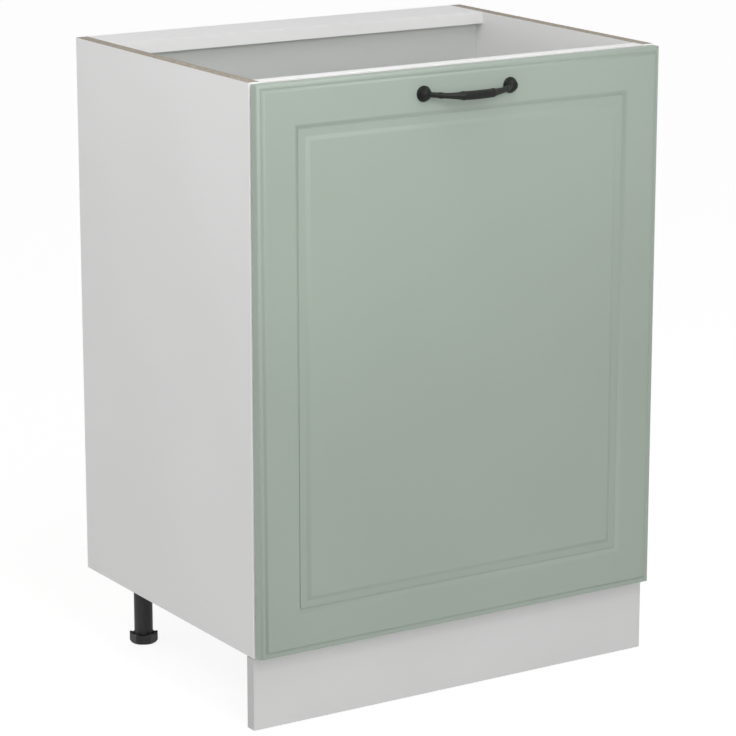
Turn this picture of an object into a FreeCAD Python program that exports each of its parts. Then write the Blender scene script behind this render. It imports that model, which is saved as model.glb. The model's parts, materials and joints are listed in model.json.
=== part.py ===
import FreeCAD, Part
import math
import os
import Sketcher

# Kitchen base cabinet, millimetres. X is to the right, Y to the back, Z up.
# The origin is on the floor, under the middle of the cabinet's outer box.

doc = FreeCAD.newDocument("base_cabinet")
sheet = doc.addObject("Spreadsheet::Sheet", "sizes")

SIZES = {
    # carcass
    "width": 600,
    "carcass_depth": 444,
    "back_thickness": 3,
    "carcass_height": 720,
    "leg_height": 96,
    "board": 16,
    "band": 1,
    "rail_width": 80,
    "front_rail_setback": 3,
    "back_setback": 63,
    "back_slot_depth": 8,
    "back_slot_width": 3.2,
    "back_in_slot": 7.5,
    # shelf
    "shelf_depth": 344,
    "shelf_height": 456,
    "shelf_rear_gap": 5,
    "shelf_side_gap": 0.5,
    "pin_radius": 2.45,
    "pin_hole_radius": 2.5,
    "pin_hole_depth": 11,
    "pin_insert": 10,
    "pin_head_radius": 3.5,
    "pin_head_length": 8,
    "pin_hole_step": 32,
    "pin_front": 70,
    "pin_rear": 330,
    # board joints
    "cam_radius": 7.5,
    "cam_bore_radius": 7.6,
    "cam_height": 11.4,
    "cam_bore_depth": 12.5,
    "cam_distance": 34,
    "bolt_bore_radius": 4,
    "bolt_thread_radius": 2.5,
    "bolt_thread_length": 11,
    "bolt_shaft_radius": 3,
    "bolt_head_radius": 3.6,
    "bolt_head_length": 5,
    "dowel_radius": 3.95,
    "dowel_hole_radius": 4,
    "dowel_in_side": 10,
    "dowel_in_board": 20,
    "dowel_end_gap": 1,
    # worktop screw holes in the rear rail
    "worktop_hole_radius": 2.5,
    "worktop_hole_spacing": 400,
    # legs
    "leg_side": 250,
    "leg_front": 62,
    "leg_rear": 381,
    "flange": 60,
    "flange_thickness": 5,
    "socket_radius": 18,
    "socket_length": 12,
    "tube_radius": 12.5,
    "tube_bottom": 7.8,
    "stem_bore_radius": 8.08,
    "stem_radius": 8,
    "stem_top": 68,
    "stem_bore_top": 80,
    "foot_height": 14.5,
    "foot_flats_radius": 16.6,
    "foot_round_radius": 18.9,
    "foot_bevel": 1.8,
    "foot_scallop": 2.7,
    "foot_scallop_radius": 12,
    "foot_recess_radius": 12.9,
    "foot_floor": 7.5,
    "leg_screw_radius": 2,
    "leg_screw_length": 12,
    "leg_screw_head_radius": 4,
    "leg_screw_head": 2,
    "leg_screw_offset": 22,
    # plinth
    "plinth_setback": 2,
    "plinth_end_gap": 0.5,
    "plinth_floor_gap": 1,
    "plinth_top_gap": 1,
    "clip_plate_width": 46,
    "clip_plate_thickness": 3,
    "clip_plate_height": 40,
    "clip_middle_height": 48,
    "clip_arm_gap": 0.4,
    "clip_arm_thickness": 2.6,
    "clip_arm_height": 24,
    "clip_arm_past": 8,
    "clip_screw_radius": 1.75,
    "clip_screw_length": 12,
    "clip_screw_head_radius": 3.5,
    "clip_screw_head": 1.5,
    "clip_screw_offset": 16,
    # door
    "door_gap": 2,
    "door_thickness": 16,
    "door_reveal": 1.5,
    "rim_inset": 7.5,
    "rim_step": 1.6,
    "rim_radius": 4.4,
    "frame_width": 50,
    "groove_depth": 4.5,
    "groove_slope": 6.5,
    "bead_inset": 57.5,
    "bead_height": 1.1,
    "panel_foot": 66,
    "panel_edge": 76,
    # handle
    "handle_spacing": 128,
    "handle_below_top": 31,
    "handle_reach": 32,
    "handle_droop": 3,
    "handle_grip_radius": 5.8,
    "handle_neck_radius": 3.5,
    "handle_root": 8,
    "rosette_radius": 10,
    "rosette_rim": 2.4,
    "rosette_height": 11,
    "rosette_top_radius": 4.6,
    "handle_screw_radius": 2,
    "handle_screw_head_radius": 4,
    "handle_screw_head": 2.4,
    "handle_screw_in": 7,
    # buffers
    "buffer_radius": 4,
    "buffer_thickness": 1.6,
    "buffer_inset": 7,
    "buffer_from_end": 60,
    # hinges: heights, then places measured from the inner face of the side and from the carcass front
    "hinge_upper": 696,
    "hinge_lower": 216,
    "plate_setback": 37,
    "plate_screw_spacing": 32,
    "plate_thickness": 4,
    "ridge_height": 13.6,
    "ridge_half_width": 4.2,
    "arm_cheek_inner": 4.4,
    "arm_cheek_outer": 5.6,
    "arm_front": 22,
    "arm_back": 64,
    "arm_web": 1.2,
    "arm_depth": 19.2,
    "inner_link_half_width": 3.2,
    "outer_link_inner": 6.2,
    "outer_link_outer": 7.6,
    "link_pin_radius": 1.5,
    "link_hole_radius": 1.56,
    "free_pin_radius": 1.25,
    "free_pin_end": 9,
    "cup_radius": 17.5,
    "cup_wall": 1,
    "cup_depth": 11.5,
    "cup_bore_radius": 17.6,
    "cup_bore_depth": 11.6,
    "cup_from_edge": 21.5,
    "cup_flange_half": 29,
    "cup_flange_thickness": 1.2,
    "cup_flange_inner": 15,
    "cup_flange_width": 28,
    "cup_opening_half": 20,
    "cup_opening_start": 8,
    "cup_opening_length": 12,
    "cup_opening_depth": 5,
    "cup_notch_half": 8.5,
    "cup_screw_spacing": 45,
    "cup_screw_offset": 9.5,
    "cup_screw_radius": 1.75,
    "cup_screw_length": 9,
    "cup_screw_head_radius": 3.5,
    "cup_screw_head": 1.4,
}

for row, (alias, number) in enumerate(SIZES.items(), start=1):
    sheet.set(f"A{row}", alias)
    sheet.set(f"B{row}", str(number))
    sheet.setAlias(f"B{row}", alias)
doc.recompute()

NODES = []


def cell(alias):
    """The number in one named cell."""
    return float(sheet.get(alias))


def named(text):
    """An expression in which every bare cell name gets the sheet's name in front."""
    words = []
    for word in str(text).replace("(", "( ").replace(")", " )").split():
        words.append("sizes." + word if word in SIZES else word)
    return " ".join(words)


# Main places of the carcass, as expressions of the cells.
FRONT = "( ( handle_reach + door_thickness + door_gap - carcass_depth ) / 2 )"
HALF = "( width / 2 )"
INNER = "( width / 2 - board )"
TOP = "( leg_height + carcass_height )"
DOOR_BACK = f"( {FRONT} - door_gap )"
DOOR_FACE = f"( {FRONT} - door_gap - door_thickness )"

TURNS = {
    "z": FreeCAD.Rotation(),
    "x": FreeCAD.Rotation(FreeCAD.Vector(0, 1, 0), 90),
    "y": FreeCAD.Rotation(FreeCAD.Vector(1, 0, 0), -90),
}


def bind(piece, **sizes):
    """Tie a piece's sizes to expressions of the cells."""
    for prop, text in sizes.items():
        piece.setExpression(prop, named(text))
    return piece


def put(piece, x, y, z, turn=None):
    """Place a piece by three expressions, with an optional turn."""
    if turn is not None:
        piece.Placement = FreeCAD.Placement(FreeCAD.Vector(), turn)
    for axis, text in zip("xyz", (x, y, z)):
        piece.setExpression(f"Placement.Base.{axis}", named(text))
    return piece


def node(piece, label):
    """Give a finished sub-part the label that names its file."""
    piece.Label = label
    NODES.append(piece)
    return piece


def block(name, low, size):
    """A box from its low corner and its three sizes."""
    piece = doc.addObject("Part::Box", name)
    bind(piece, Length=size[0], Width=size[1], Height=size[2])
    return put(piece, *low)


def rod(name, radius, length, start, along):
    """A cylinder that starts at a point and runs along +X, +Y or +Z."""
    piece = doc.addObject("Part::Cylinder", name)
    bind(piece, Radius=radius, Height=length)
    return put(piece, *start, TURNS[along])


def group(name, pieces):
    """Several separate solids held together as one object."""
    piece = doc.addObject("Part::Compound", name)
    piece.Links = pieces
    return piece


def fuse(name, pieces):
    """One solid from several that touch."""
    piece = doc.addObject("Part::MultiFuse", name)
    piece.Shapes = pieces
    return piece


def cut(name, base, tools):
    """A solid less a list of others."""
    piece = doc.addObject("Part::Cut", name)
    piece.Base = base
    piece.Tool = tools[0] if len(tools) == 1 else group(name + "_tools", tools)
    return piece


def mirror_text(hand, text):
    """The expression on the right (+1) or left (-1) half of the cabinet."""
    return text if hand > 0 else f"( 0 - {text} )"


def span(hand, inner, length):
    """Where a rod along +X starts, so that it covers inner to inner + length on one half."""
    return inner if hand > 0 else f"( 0 - {inner} - {length} )"


HANDS = (("left", -1), ("right", 1))

# Holes that the boards get, filled in by the fittings below.
side_holes = {-1: [], 1: []}
bottom_holes = []
rear_rail_holes = []
front_rail_holes = []
door_holes = []
cams = []
bolts = []
dowels = []


# Board joints: a cam lock in the lying board draws in a bolt that stands in the side panel.
def cam_joint(tag, hand, y, z, bore_low, bore_along, board_holes):
    """One cam lock with its bolt, and the holes that they need."""
    face = INNER
    cam_x = mirror_text(hand, f"( {INNER} - cam_distance )")
    name = f"{tag}_{'right' if hand > 0 else 'left'}"
    board_holes.append(rod(f"cam_bore_{name}", "cam_bore_radius", "cam_bore_depth", (cam_x, *bore_low),
                           bore_along))
    reach = "cam_distance"
    board_start = span(hand, f"( {INNER} - cam_distance )", reach)
    board_holes.append(rod(f"bolt_bore_{name}", "bolt_bore_radius", reach, (board_start, y, z), "x"))
    side_start = span(hand, face, "bolt_thread_length")
    side_holes[hand].append(rod(f"bolt_hole_{name}", "bolt_thread_radius", "bolt_thread_length",
                                (side_start, y, z), "x"))
    # cam: a short drum with an opening for the bolt's head
    drum = rod(f"cam_drum_{name}", "cam_radius", "cam_height", (cam_x, *bore_low), bore_along)
    mouth_length = "( cam_radius + bolt_head_length )"
    mouth_start = span(hand, f"( {INNER} - cam_distance - bolt_head_length / 2 )", mouth_length)
    mouth = rod(f"cam_mouth_{name}", "bolt_bore_radius", mouth_length, (mouth_start, y, z), "x")
    cams.append(cut(f"cam_{name}", drum, [mouth]))
    # bolt: thread in the side, shaft, head in the cam
    head_start = span(hand, f"( {INNER} - cam_distance )", "bolt_head_length")
    shaft_length = "( cam_distance - bolt_head_length )"
    shaft_start = span(hand, f"( {INNER} - {shaft_length} )", shaft_length)
    bolts.append(fuse(f"bolt_{name}", [
        rod(f"bolt_thread_{name}", "bolt_thread_radius", "bolt_thread_length", (side_start, y, z), "x"),
        rod(f"bolt_shaft_{name}", "bolt_shaft_radius", shaft_length, (shaft_start, y, z), "x"),
        rod(f"bolt_head_{name}", "bolt_head_radius", "bolt_head_length", (head_start, y, z), "x")]))


def dowel_joint(tag, hand, y, z, board_holes):
    """One wooden dowel across a board joint, with its two holes."""
    name = f"{tag}_{'right' if hand > 0 else 'left'}"
    whole = "( dowel_in_side + dowel_in_board )"
    start = span(hand, f"( {INNER} - dowel_in_board )", whole)
    dowels.append(rod(f"dowel_{name}", "dowel_radius", whole, (start, y, z), "x"))
    board_length = "( dowel_in_board + dowel_end_gap )"
    board_start = span(hand, f"( {INNER} - {board_length} )", board_length)
    board_holes.append(rod(f"dowel_bore_{name}", "dowel_hole_radius", board_length, (board_start, y, z),
                           "x"))
    side_length = "( dowel_in_side + dowel_end_gap )"
    side_holes[hand].append(rod(f"dowel_hole_{name}", "dowel_hole_radius", side_length,
                                (span(hand, INNER, side_length), y, z), "x"))


BOTTOM_CAM_PLACES = {"bottom_front": 130, "bottom_rear": 310}
BOTTOM_DOWEL_PLACES = {"bottom_front": 190, "bottom_rear": 250}
bottom_axis = "( leg_height + board / 2 )"
rear_axis = f"( {TOP} - board / 2 )"
front_axis = f"( {FRONT} + front_rail_setback + board / 2 )"
rear_rail_low = f"( {TOP} - board )"
rear_rail_front = f"( {FRONT} + carcass_depth - rail_width )"
front_rail_low = f"( {TOP} - rail_width )"
for side_name, side_hand in HANDS:
    for place_name, place in BOTTOM_CAM_PLACES.items():
        place_y = f"( {FRONT} + {place} )"
        cam_joint(place_name, side_hand, place_y, bottom_axis, (place_y, "leg_height"), "z", bottom_holes)
    for place_name, place in BOTTOM_DOWEL_PLACES.items():
        dowel_joint(place_name, side_hand, f"( {FRONT} + {place} )", bottom_axis, bottom_holes)
    rear_cam_y = f"( {rear_rail_front} + rail_width * 0.45 )"
    cam_joint("rear_rail", side_hand, rear_cam_y, rear_axis, (rear_cam_y, rear_rail_low), "z",
              rear_rail_holes)
    dowel_joint("rear_rail", side_hand, f"( {rear_rail_front} + rail_width * 0.7 )", rear_axis,
                rear_rail_holes)
    front_cam_z = f"( {front_rail_low} + rail_width / 4 )"
    front_bore_y = f"( {FRONT} + front_rail_setback + board - cam_bore_depth )"
    cam_joint("front_rail", side_hand, front_axis, front_cam_z, (front_bore_y, front_cam_z), "y",
              front_rail_holes)
    dowel_joint("front_rail", side_hand, front_axis, f"( {front_rail_low} + rail_width * 0.7 )",
                front_rail_holes)

# Shelf pins: five pairs of holes in each side, the middle pairs in use.
PIN_ROWS = (-2, -1, 0, 1, 2)
pin_axis = "( shelf_height - pin_head_radius )"
pins = []
for side_name, side_hand in HANDS:
    for column in ("pin_front", "pin_rear"):
        pin_y = f"( {FRONT} + {column} )"
        for pin_row in PIN_ROWS:
            pin_z = f"( {pin_axis} + pin_hole_step * {pin_row} )"
            hole_start = span(side_hand, INNER, "pin_hole_depth")
            side_holes[side_hand].append(rod(f"{column}_hole_{side_name}_{pin_row + 2}", "pin_hole_radius",
                                             "pin_hole_depth", (hole_start, pin_y, pin_z), "x"))
        insert = rod(f"{column}_insert_{side_name}", "pin_radius", "pin_insert",
                     (span(side_hand, INNER, "pin_insert"), pin_y, pin_axis), "x")
        head_inner = f"( {INNER} - pin_head_length )"
        head = rod(f"{column}_head_{side_name}", "pin_head_radius", "pin_head_length",
                   (span(side_hand, head_inner, "pin_head_length"), pin_y, pin_axis), "x")
        pins.append(fuse(f"{column}_{side_name}", [insert, head]))

# Slots that hold the back panel, in the sides, the bottom and the underside of the rear rail.
inner_width = f"( {INNER} * 2 )"
left_inner = f"( 0 - {INNER} )"
back_front = f"( {FRONT} + carcass_depth - back_setback - back_thickness )"
slot_front = f"( {back_front} + back_thickness / 2 - back_slot_width / 2 )"
slot_low = "( leg_height + board - back_slot_depth )"
slot_height = "( carcass_height - board * 2 + back_slot_depth * 2 )"
for side_name, side_hand in HANDS:
    slot_x = span(side_hand, INNER, "back_slot_depth")
    side_holes[side_hand].append(block(f"back_slot_{side_name}", (slot_x, slot_front, slot_low),
                                       ("back_slot_depth", "back_slot_width", slot_height)))
lying_slot = (inner_width, "back_slot_width", "back_slot_depth")
bottom_holes.append(block("back_slot_bottom", (left_inner, slot_front, slot_low), lying_slot))
rear_rail_holes.append(block("back_slot_rail", (left_inner, slot_front, rear_rail_low), lying_slot))

# Worktop screw holes through the rear rail.
worktop_y = f"( {rear_rail_front} + rail_width / 2 )"
for hole_hand in (-1, 1):
    hole_x = mirror_text(hole_hand, "( worktop_hole_spacing / 2 )")
    rear_rail_holes.append(rod(f"worktop_hole_{hole_hand + 1}", "worktop_hole_radius", "board",
                               (hole_x, worktop_y, rear_rail_low), "z"))

# Legs: socket with flange, tube, and a foot with a stem that screws up into the tube.
LEGS = []
for side_name, side_hand in HANDS:
    LEGS.append(("front_" + side_name, side_hand, f"( {FRONT} + leg_front )"))
    LEGS.append(("rear_" + side_name, side_hand, f"( {FRONT} + leg_rear )"))
CORNERS = ((-1, -1), (-1, 1), (1, -1), (1, 1))
leg_screws = []
flange_low = "( leg_height - flange_thickness )"
for leg_name, leg_hand, leg_y in LEGS:
    leg_x = mirror_text(leg_hand, "leg_side")
    socket_low = f"( {flange_low} - socket_length )"
    plate = block(f"{leg_name}_flange", (f"( {leg_x} - flange / 2 )", f"( {leg_y} - flange / 2 )",
                                         flange_low),
                  ("flange", "flange", "flange_thickness"))
    collar = rod(f"{leg_name}_collar", "socket_radius", "socket_length", (leg_x, leg_y, socket_low), "z")
    socket_tools = [rod(f"{leg_name}_collar_bore", "tube_radius", "socket_length", (leg_x, leg_y,
                                                                                    socket_low), "z")]
    for index, (dx, dy) in enumerate(CORNERS):
        screw_x = f"( {leg_x} + leg_screw_offset * {dx} )"
        screw_y = f"( {leg_y} + leg_screw_offset * {dy} )"
        shank_length = "( leg_screw_length + flange_thickness )"
        shank_start = (screw_x, screw_y, flange_low)
        head_start = (screw_x, screw_y, f"( {flange_low} - leg_screw_head )")
        tag = f"{leg_name}_{index}"
        leg_screws.append(fuse(f"leg_screw_{tag}", [
            rod(f"leg_screw_shank_{tag}", "leg_screw_radius", shank_length, shank_start, "z"),
            rod(f"leg_screw_head_{tag}", "leg_screw_head_radius", "leg_screw_head", head_start, "z")]))
        socket_tools.append(rod(f"leg_screw_way_{tag}", "leg_screw_radius", shank_length, shank_start, "z"))
        bottom_holes.append(rod(f"leg_screw_hole_{tag}", "leg_screw_radius", shank_length, shank_start,
                                "z"))
    node(cut(f"{leg_name}_socket", fuse(f"{leg_name}_socket_blank", [plate, collar]), socket_tools),
         f"{leg_name}_leg_socket")
    tube = rod(f"{leg_name}_tube_blank", "tube_radius", f"( {flange_low} - tube_bottom )",
               (leg_x, leg_y, "tube_bottom"), "z")
    tube_bore = rod(f"{leg_name}_tube_bore", "stem_bore_radius", "( stem_bore_top - tube_bottom )",
                    (leg_x, leg_y, "tube_bottom"), "z")
    node(cut(f"{leg_name}_tube", tube, [tube_bore]), f"{leg_name}_leg_tube")
    # foot: a six-sided ring with turned corners, bevelled below, its top edge hollowed between the corners
    prism = doc.addObject("Part::Prism", f"{leg_name}_foot_prism")
    prism.Polygon = 6
    bind(prism, Circumradius="( foot_flats_radius * 2 / sqrt( 3 ) )", Height="foot_height")
    put(prism, leg_x, leg_y, "0", FreeCAD.Rotation(FreeCAD.Vector(0, 0, 1), 30))
    bevel = doc.addObject("Part::Cone", f"{leg_name}_foot_bevel")
    bind(bevel, Radius1="( foot_round_radius - foot_bevel )", Radius2="foot_round_radius",
         Height="foot_bevel")
    put(bevel, leg_x, leg_y, "0")
    waist = rod(f"{leg_name}_foot_waist", "foot_round_radius", "( foot_height - foot_bevel )",
                (leg_x, leg_y, "foot_bevel"), "z")
    ring = doc.addObject("Part::MultiCommon", f"{leg_name}_foot_ring")
    ring.Shapes = [prism, fuse(f"{leg_name}_foot_turned", [bevel, waist])]
    recess = rod(f"{leg_name}_foot_recess", "foot_recess_radius", "foot_height", (leg_x, leg_y,
                                                                                  "foot_floor"), "z")
    hollows = [recess]
    for turn in (0, 60, 120):
        along_x = round(math.cos(math.radians(turn)), 6)
        along_y = round(math.sin(math.radians(turn)), 6)
        scallop = doc.addObject("Part::Cylinder", f"{leg_name}_foot_scallop_{turn}")
        bind(scallop, Radius="foot_scallop_radius", Height="( foot_round_radius * 2 )")
        lying = FreeCAD.Rotation(FreeCAD.Vector(0, 0, 1), turn)
        lying = lying.multiply(FreeCAD.Rotation(FreeCAD.Vector(0, 1, 0), 90))
        put(scallop, f"( {leg_x} - foot_round_radius * ( {along_x} ) )",
            f"( {leg_y} - foot_round_radius * ( {along_y} ) )",
            "( foot_height - foot_scallop + foot_scallop_radius )", lying)
        hollows.append(scallop)
    stem = rod(f"{leg_name}_foot_stem", "stem_radius", "( stem_top - foot_floor )", (leg_x, leg_y,
                                                                                     "foot_floor"), "z")
    hollow = cut(f"{leg_name}_foot_hollow", ring, [fuse(f"{leg_name}_foot_hollows", hollows)])
    node(fuse(f"{leg_name}_foot", [hollow, stem]), f"{leg_name}_foot")

# Plinth: a board with two fork clips that push onto the front leg tubes.
plinth_front = f"( {FRONT} + plinth_setback )"
plinth_back = f"( {plinth_front} + board )"
plinth_length = "( width - plinth_end_gap * 2 )"
plinth_height = "( leg_height - plinth_floor_gap - plinth_top_gap )"
plinth_blank = block("plinth_blank", (f"( 0 - {plinth_length} / 2 )", plinth_front, "plinth_floor_gap"),
                     (plinth_length, "board", plinth_height))
plinth_holes = []
clip_screws = []
leg_axis_y = f"( {FRONT} + leg_front )"
for side_name, side_hand in HANDS:
    clip_x = mirror_text(side_hand, "leg_side")
    clip_low = "( clip_middle_height - clip_plate_height / 2 )"
    plate = block(f"{side_name}_clip_plate", (f"( {clip_x} - clip_plate_width / 2 )", plinth_back,
                                              clip_low),
                  ("clip_plate_width", "clip_plate_thickness", "clip_plate_height"))
    arm_start = f"( {plinth_back} + clip_plate_thickness )"
    arm_length = f"( {leg_axis_y} + clip_arm_past - {arm_start} )"
    arm_low = "( clip_middle_height - clip_arm_height / 2 )"
    arms = []
    for arm_hand in (-1, 1):
        inner = "( tube_radius + clip_arm_gap )"
        offset = inner if arm_hand > 0 else f"( 0 - {inner} - clip_arm_thickness )"
        arms.append(block(f"{side_name}_clip_arm_{arm_hand + 1}", (f"( {clip_x} + {offset} )", arm_start,
                                                                   arm_low),
                          ("clip_arm_thickness", arm_length, "clip_arm_height")))
    clip_tools = []
    for dz in (-1, 1):
        screw_z = f"( clip_middle_height + clip_screw_offset * {dz} )"
        whole = "( clip_screw_length + clip_plate_thickness )"
        start = (clip_x, f"( {plinth_back} - clip_screw_length )", screw_z)
        head_start = (clip_x, f"( {plinth_back} + clip_plate_thickness )", screw_z)
        tag = f"{side_name}_{dz + 1}"
        clip_tools.append(rod(f"clip_screw_way_{tag}", "clip_screw_radius", whole, start, "y"))
        plinth_holes.append(rod(f"clip_screw_hole_{tag}", "clip_screw_radius", whole, start, "y"))
        clip_screws.append(fuse(f"clip_screw_{tag}", [
            rod(f"clip_screw_shank_{tag}", "clip_screw_radius", whole, start, "y"),
            rod(f"clip_screw_head_{tag}", "clip_screw_head_radius", "clip_screw_head", head_start, "y")]))
    node(cut(f"{side_name}_clip", fuse(f"{side_name}_clip_blank", [plate] + arms), clip_tools),
         f"{side_name}_plinth_clip")
node(cut("plinth", plinth_blank, plinth_holes), "plinth_board")
node(group("clip_screws", clip_screws), "plinth_clip_screws")

# Concealed hinges on the right side. Pivot places in the cabinet's plan, from the side's inner face and
# the front.
# The inner link turns on the arm at ARM_INNER and carries the cup at CUP_INNER; the outer link turns at
# ARM_OUTER
# and ends at CUP_OUTER. The elbows keep the links clear of the cup's rim.
ARM_INNER = (19.5, 14.6)
CUP_INNER = (-5.0, -7.5)
ARM_OUTER = (32.0, 3.1)
CUP_OUTER = (0.3, -4.7)
INNER_ELBOW = (4.8, -8.9)
ARM_ROOT = (12.0, 26.0)
INNER_LINK_HALF = 1.7
INNER_EYE = 2.8
OUTER_LINK_HALF = 2.1
OUTER_EYE = 2.7
ARM_BAR_HALF = 3.0
ARM_ROOT_HALF = 4.0
CLAMP_SCREW_Y = 50
CLAMP_SCREW_RADIUS = 2.4
CLAMP_HEAD_RADIUS = 4
CLAMP_HEAD = 2.5
CLAMP_SCREW_IN = 9
PLATE_SCREW_RADIUS = 2.5
PLATE_SCREW_IN = 12
PLATE_HEAD_RADIUS = 4.5
PLATE_HEAD = 2.5
PLATE_HALF_HEIGHT = 24
PLATE_FRONT = 28
PLATE_BACK = 62
LUG_INNER = 3.7
LUG_OUTER = 5.4
LUG_HALF = 2.6


def plan(point):
    """A plan point of a hinge as X and Y expressions."""
    return f"( {INNER} - {point[0]} )", f"( {FRONT} + {point[1]} )"


def bar(name, start, end, half, low, height):
    """A flat bar in plan between two points."""
    dx = start[0] - end[0]
    dy = end[1] - start[1]
    turn = math.degrees(math.atan2(dy, dx))
    # the bar's low corner is half its width to the right of its start, seen along it
    corner = (start[0] - half * math.sin(math.radians(turn)),
              start[1] - half * math.cos(math.radians(turn)))
    piece = doc.addObject("Part::Box", name)
    bind(piece, Length=str(math.hypot(dx, dy)), Width=str(half * 2), Height=height)
    return put(piece, *plan(corner), low, FreeCAD.Rotation(FreeCAD.Vector(0, 0, 1), turn))


def eye(name, point, radius, low, height):
    """An upright disc or pin at a plan point."""
    return rod(name, str(radius), height, (*plan(point), low), "z")


plate_screws = []
clamp_screws = []
cup_screws = []
arm_pins = []
cup_pins = []
for hinge_name in ("upper", "lower"):
    level = f"hinge_{hinge_name}"
    # mounting plate with its ridge
    wings = block(f"{hinge_name}_plate_wings",
                  (f"( {INNER} - plate_thickness )", f"( {FRONT} + {PLATE_FRONT} )",
                   f"( {level} - {PLATE_HALF_HEIGHT} )"),
                  ("plate_thickness", f"( {PLATE_BACK} - {PLATE_FRONT} )", f"( {PLATE_HALF_HEIGHT} * 2 )"))
    ridge = block(f"{hinge_name}_plate_ridge",
                  (f"( {INNER} - plate_thickness - ridge_height )", f"( {FRONT} + {PLATE_FRONT} )",
                   f"( {level} - ridge_half_width )"),
                  ("ridge_height", f"( {PLATE_BACK} - {PLATE_FRONT} )", "( ridge_half_width * 2 )"))
    plate_tools = []
    for dz in (-1, 1):
        screw_z = f"( {level} + plate_screw_spacing / 2 * {dz} )"
        screw_y = f"( {FRONT} + plate_setback )"
        whole = f"( plate_thickness + {PLATE_SCREW_IN} )"
        start = (f"( {INNER} - plate_thickness )", screw_y, screw_z)
        tag = f"{hinge_name}_{dz + 1}"
        shank = rod(f"plate_screw_shank_{tag}", str(PLATE_SCREW_RADIUS), whole, start, "x")
        head = rod(f"plate_screw_head_{tag}", str(PLATE_HEAD_RADIUS), str(PLATE_HEAD),
                   (f"( {INNER} - plate_thickness - {PLATE_HEAD} )", screw_y, screw_z), "x")
        plate_screws.append(fuse(f"plate_screw_{tag}", [shank, head]))
        plate_tools.append(rod(f"plate_screw_way_{tag}", str(PLATE_SCREW_RADIUS), whole, start, "x"))
        side_holes[1].append(rod(f"plate_screw_hole_{tag}", str(PLATE_SCREW_RADIUS), whole, start, "x"))
    # clamp screw through the arm's web into the ridge
    web_face = f"( {INNER} - arm_depth )"
    clamp_y = f"( {FRONT} + {CLAMP_SCREW_Y} )"
    clamp_length = f"( arm_web + {CLAMP_SCREW_IN} )"
    clamp_start = (web_face, clamp_y, level)
    clamp_head = rod(f"clamp_head_{hinge_name}", str(CLAMP_HEAD_RADIUS), str(CLAMP_HEAD),
                     (f"( {web_face} - {CLAMP_HEAD} )", clamp_y, level), "x")
    clamp_shank = rod(f"clamp_shank_{hinge_name}", str(CLAMP_SCREW_RADIUS), clamp_length, clamp_start, "x")
    clamp_screws.append(fuse(f"clamp_screw_{hinge_name}", [clamp_shank, clamp_head]))
    plate_tools.append(rod(f"clamp_plate_way_{hinge_name}", str(CLAMP_SCREW_RADIUS), clamp_length,
                           clamp_start, "x"))
    node(cut(f"{hinge_name}_plate", fuse(f"{hinge_name}_plate_blank", [wings, ridge]), plate_tools),
         f"{hinge_name}_hinge_plate")
    # arm: two cheeks joined by a web, with a nose that carries the link pivots
    cheeks = []
    cheek_height = "( arm_cheek_outer - arm_cheek_inner )"
    for cheek_hand in (-1, 1):
        low = f"( {level} + arm_cheek_inner )" if cheek_hand > 0 else f"( {level} - arm_cheek_outer )"
        tag = f"{hinge_name}_{cheek_hand + 1}"
        cheeks += [
            block(f"arm_cheek_{tag}", (web_face, f"( {FRONT} + arm_front )", low),
                  ("( arm_depth - plate_thickness - 1 )", "( arm_back - arm_front )", cheek_height)),
            bar(f"arm_root_{tag}", ARM_ROOT, ARM_INNER, ARM_ROOT_HALF, low, cheek_height),
            bar(f"arm_nose_{tag}", ARM_INNER, ARM_OUTER, ARM_BAR_HALF, low, cheek_height),
            eye(f"arm_root_eye_{tag}", ARM_INNER, ARM_ROOT_HALF, low, cheek_height),
            eye(f"arm_nose_eye_{tag}", ARM_OUTER, ARM_BAR_HALF, low, cheek_height)]
    web = block(f"arm_web_{hinge_name}", (web_face, f"( {FRONT} + arm_front )",
                                          f"( {level} - arm_cheek_outer )"),
                ("arm_web", "( arm_back - arm_front )", "( arm_cheek_outer * 2 )"))
    arm_tools = [rod(f"clamp_arm_way_{hinge_name}", str(CLAMP_SCREW_RADIUS), clamp_length, clamp_start,
                     "x")]
    inner_low = f"( {level} - arm_cheek_outer )"
    inner_height = "( arm_cheek_outer * 2 )"
    outer_low = f"( {level} - outer_link_outer )"
    outer_height = "( outer_link_outer * 2 )"
    arm_tools.append(eye(f"arm_inner_hole_{hinge_name}", ARM_INNER, "link_pin_radius", inner_low,
                         inner_height))
    arm_tools.append(eye(f"arm_outer_hole_{hinge_name}", ARM_OUTER, "link_pin_radius", outer_low,
                         outer_height))
    node(cut(f"{hinge_name}_arm", fuse(f"{hinge_name}_arm_blank", cheeks + [web]), arm_tools),
         f"{hinge_name}_hinge_arm")
    arm_pins.append(eye(f"arm_inner_pin_{hinge_name}", ARM_INNER, "link_pin_radius", inner_low,
                        inner_height))
    arm_pins.append(eye(f"arm_outer_pin_{hinge_name}", ARM_OUTER, "link_pin_radius", outer_low,
                        outer_height))
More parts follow.
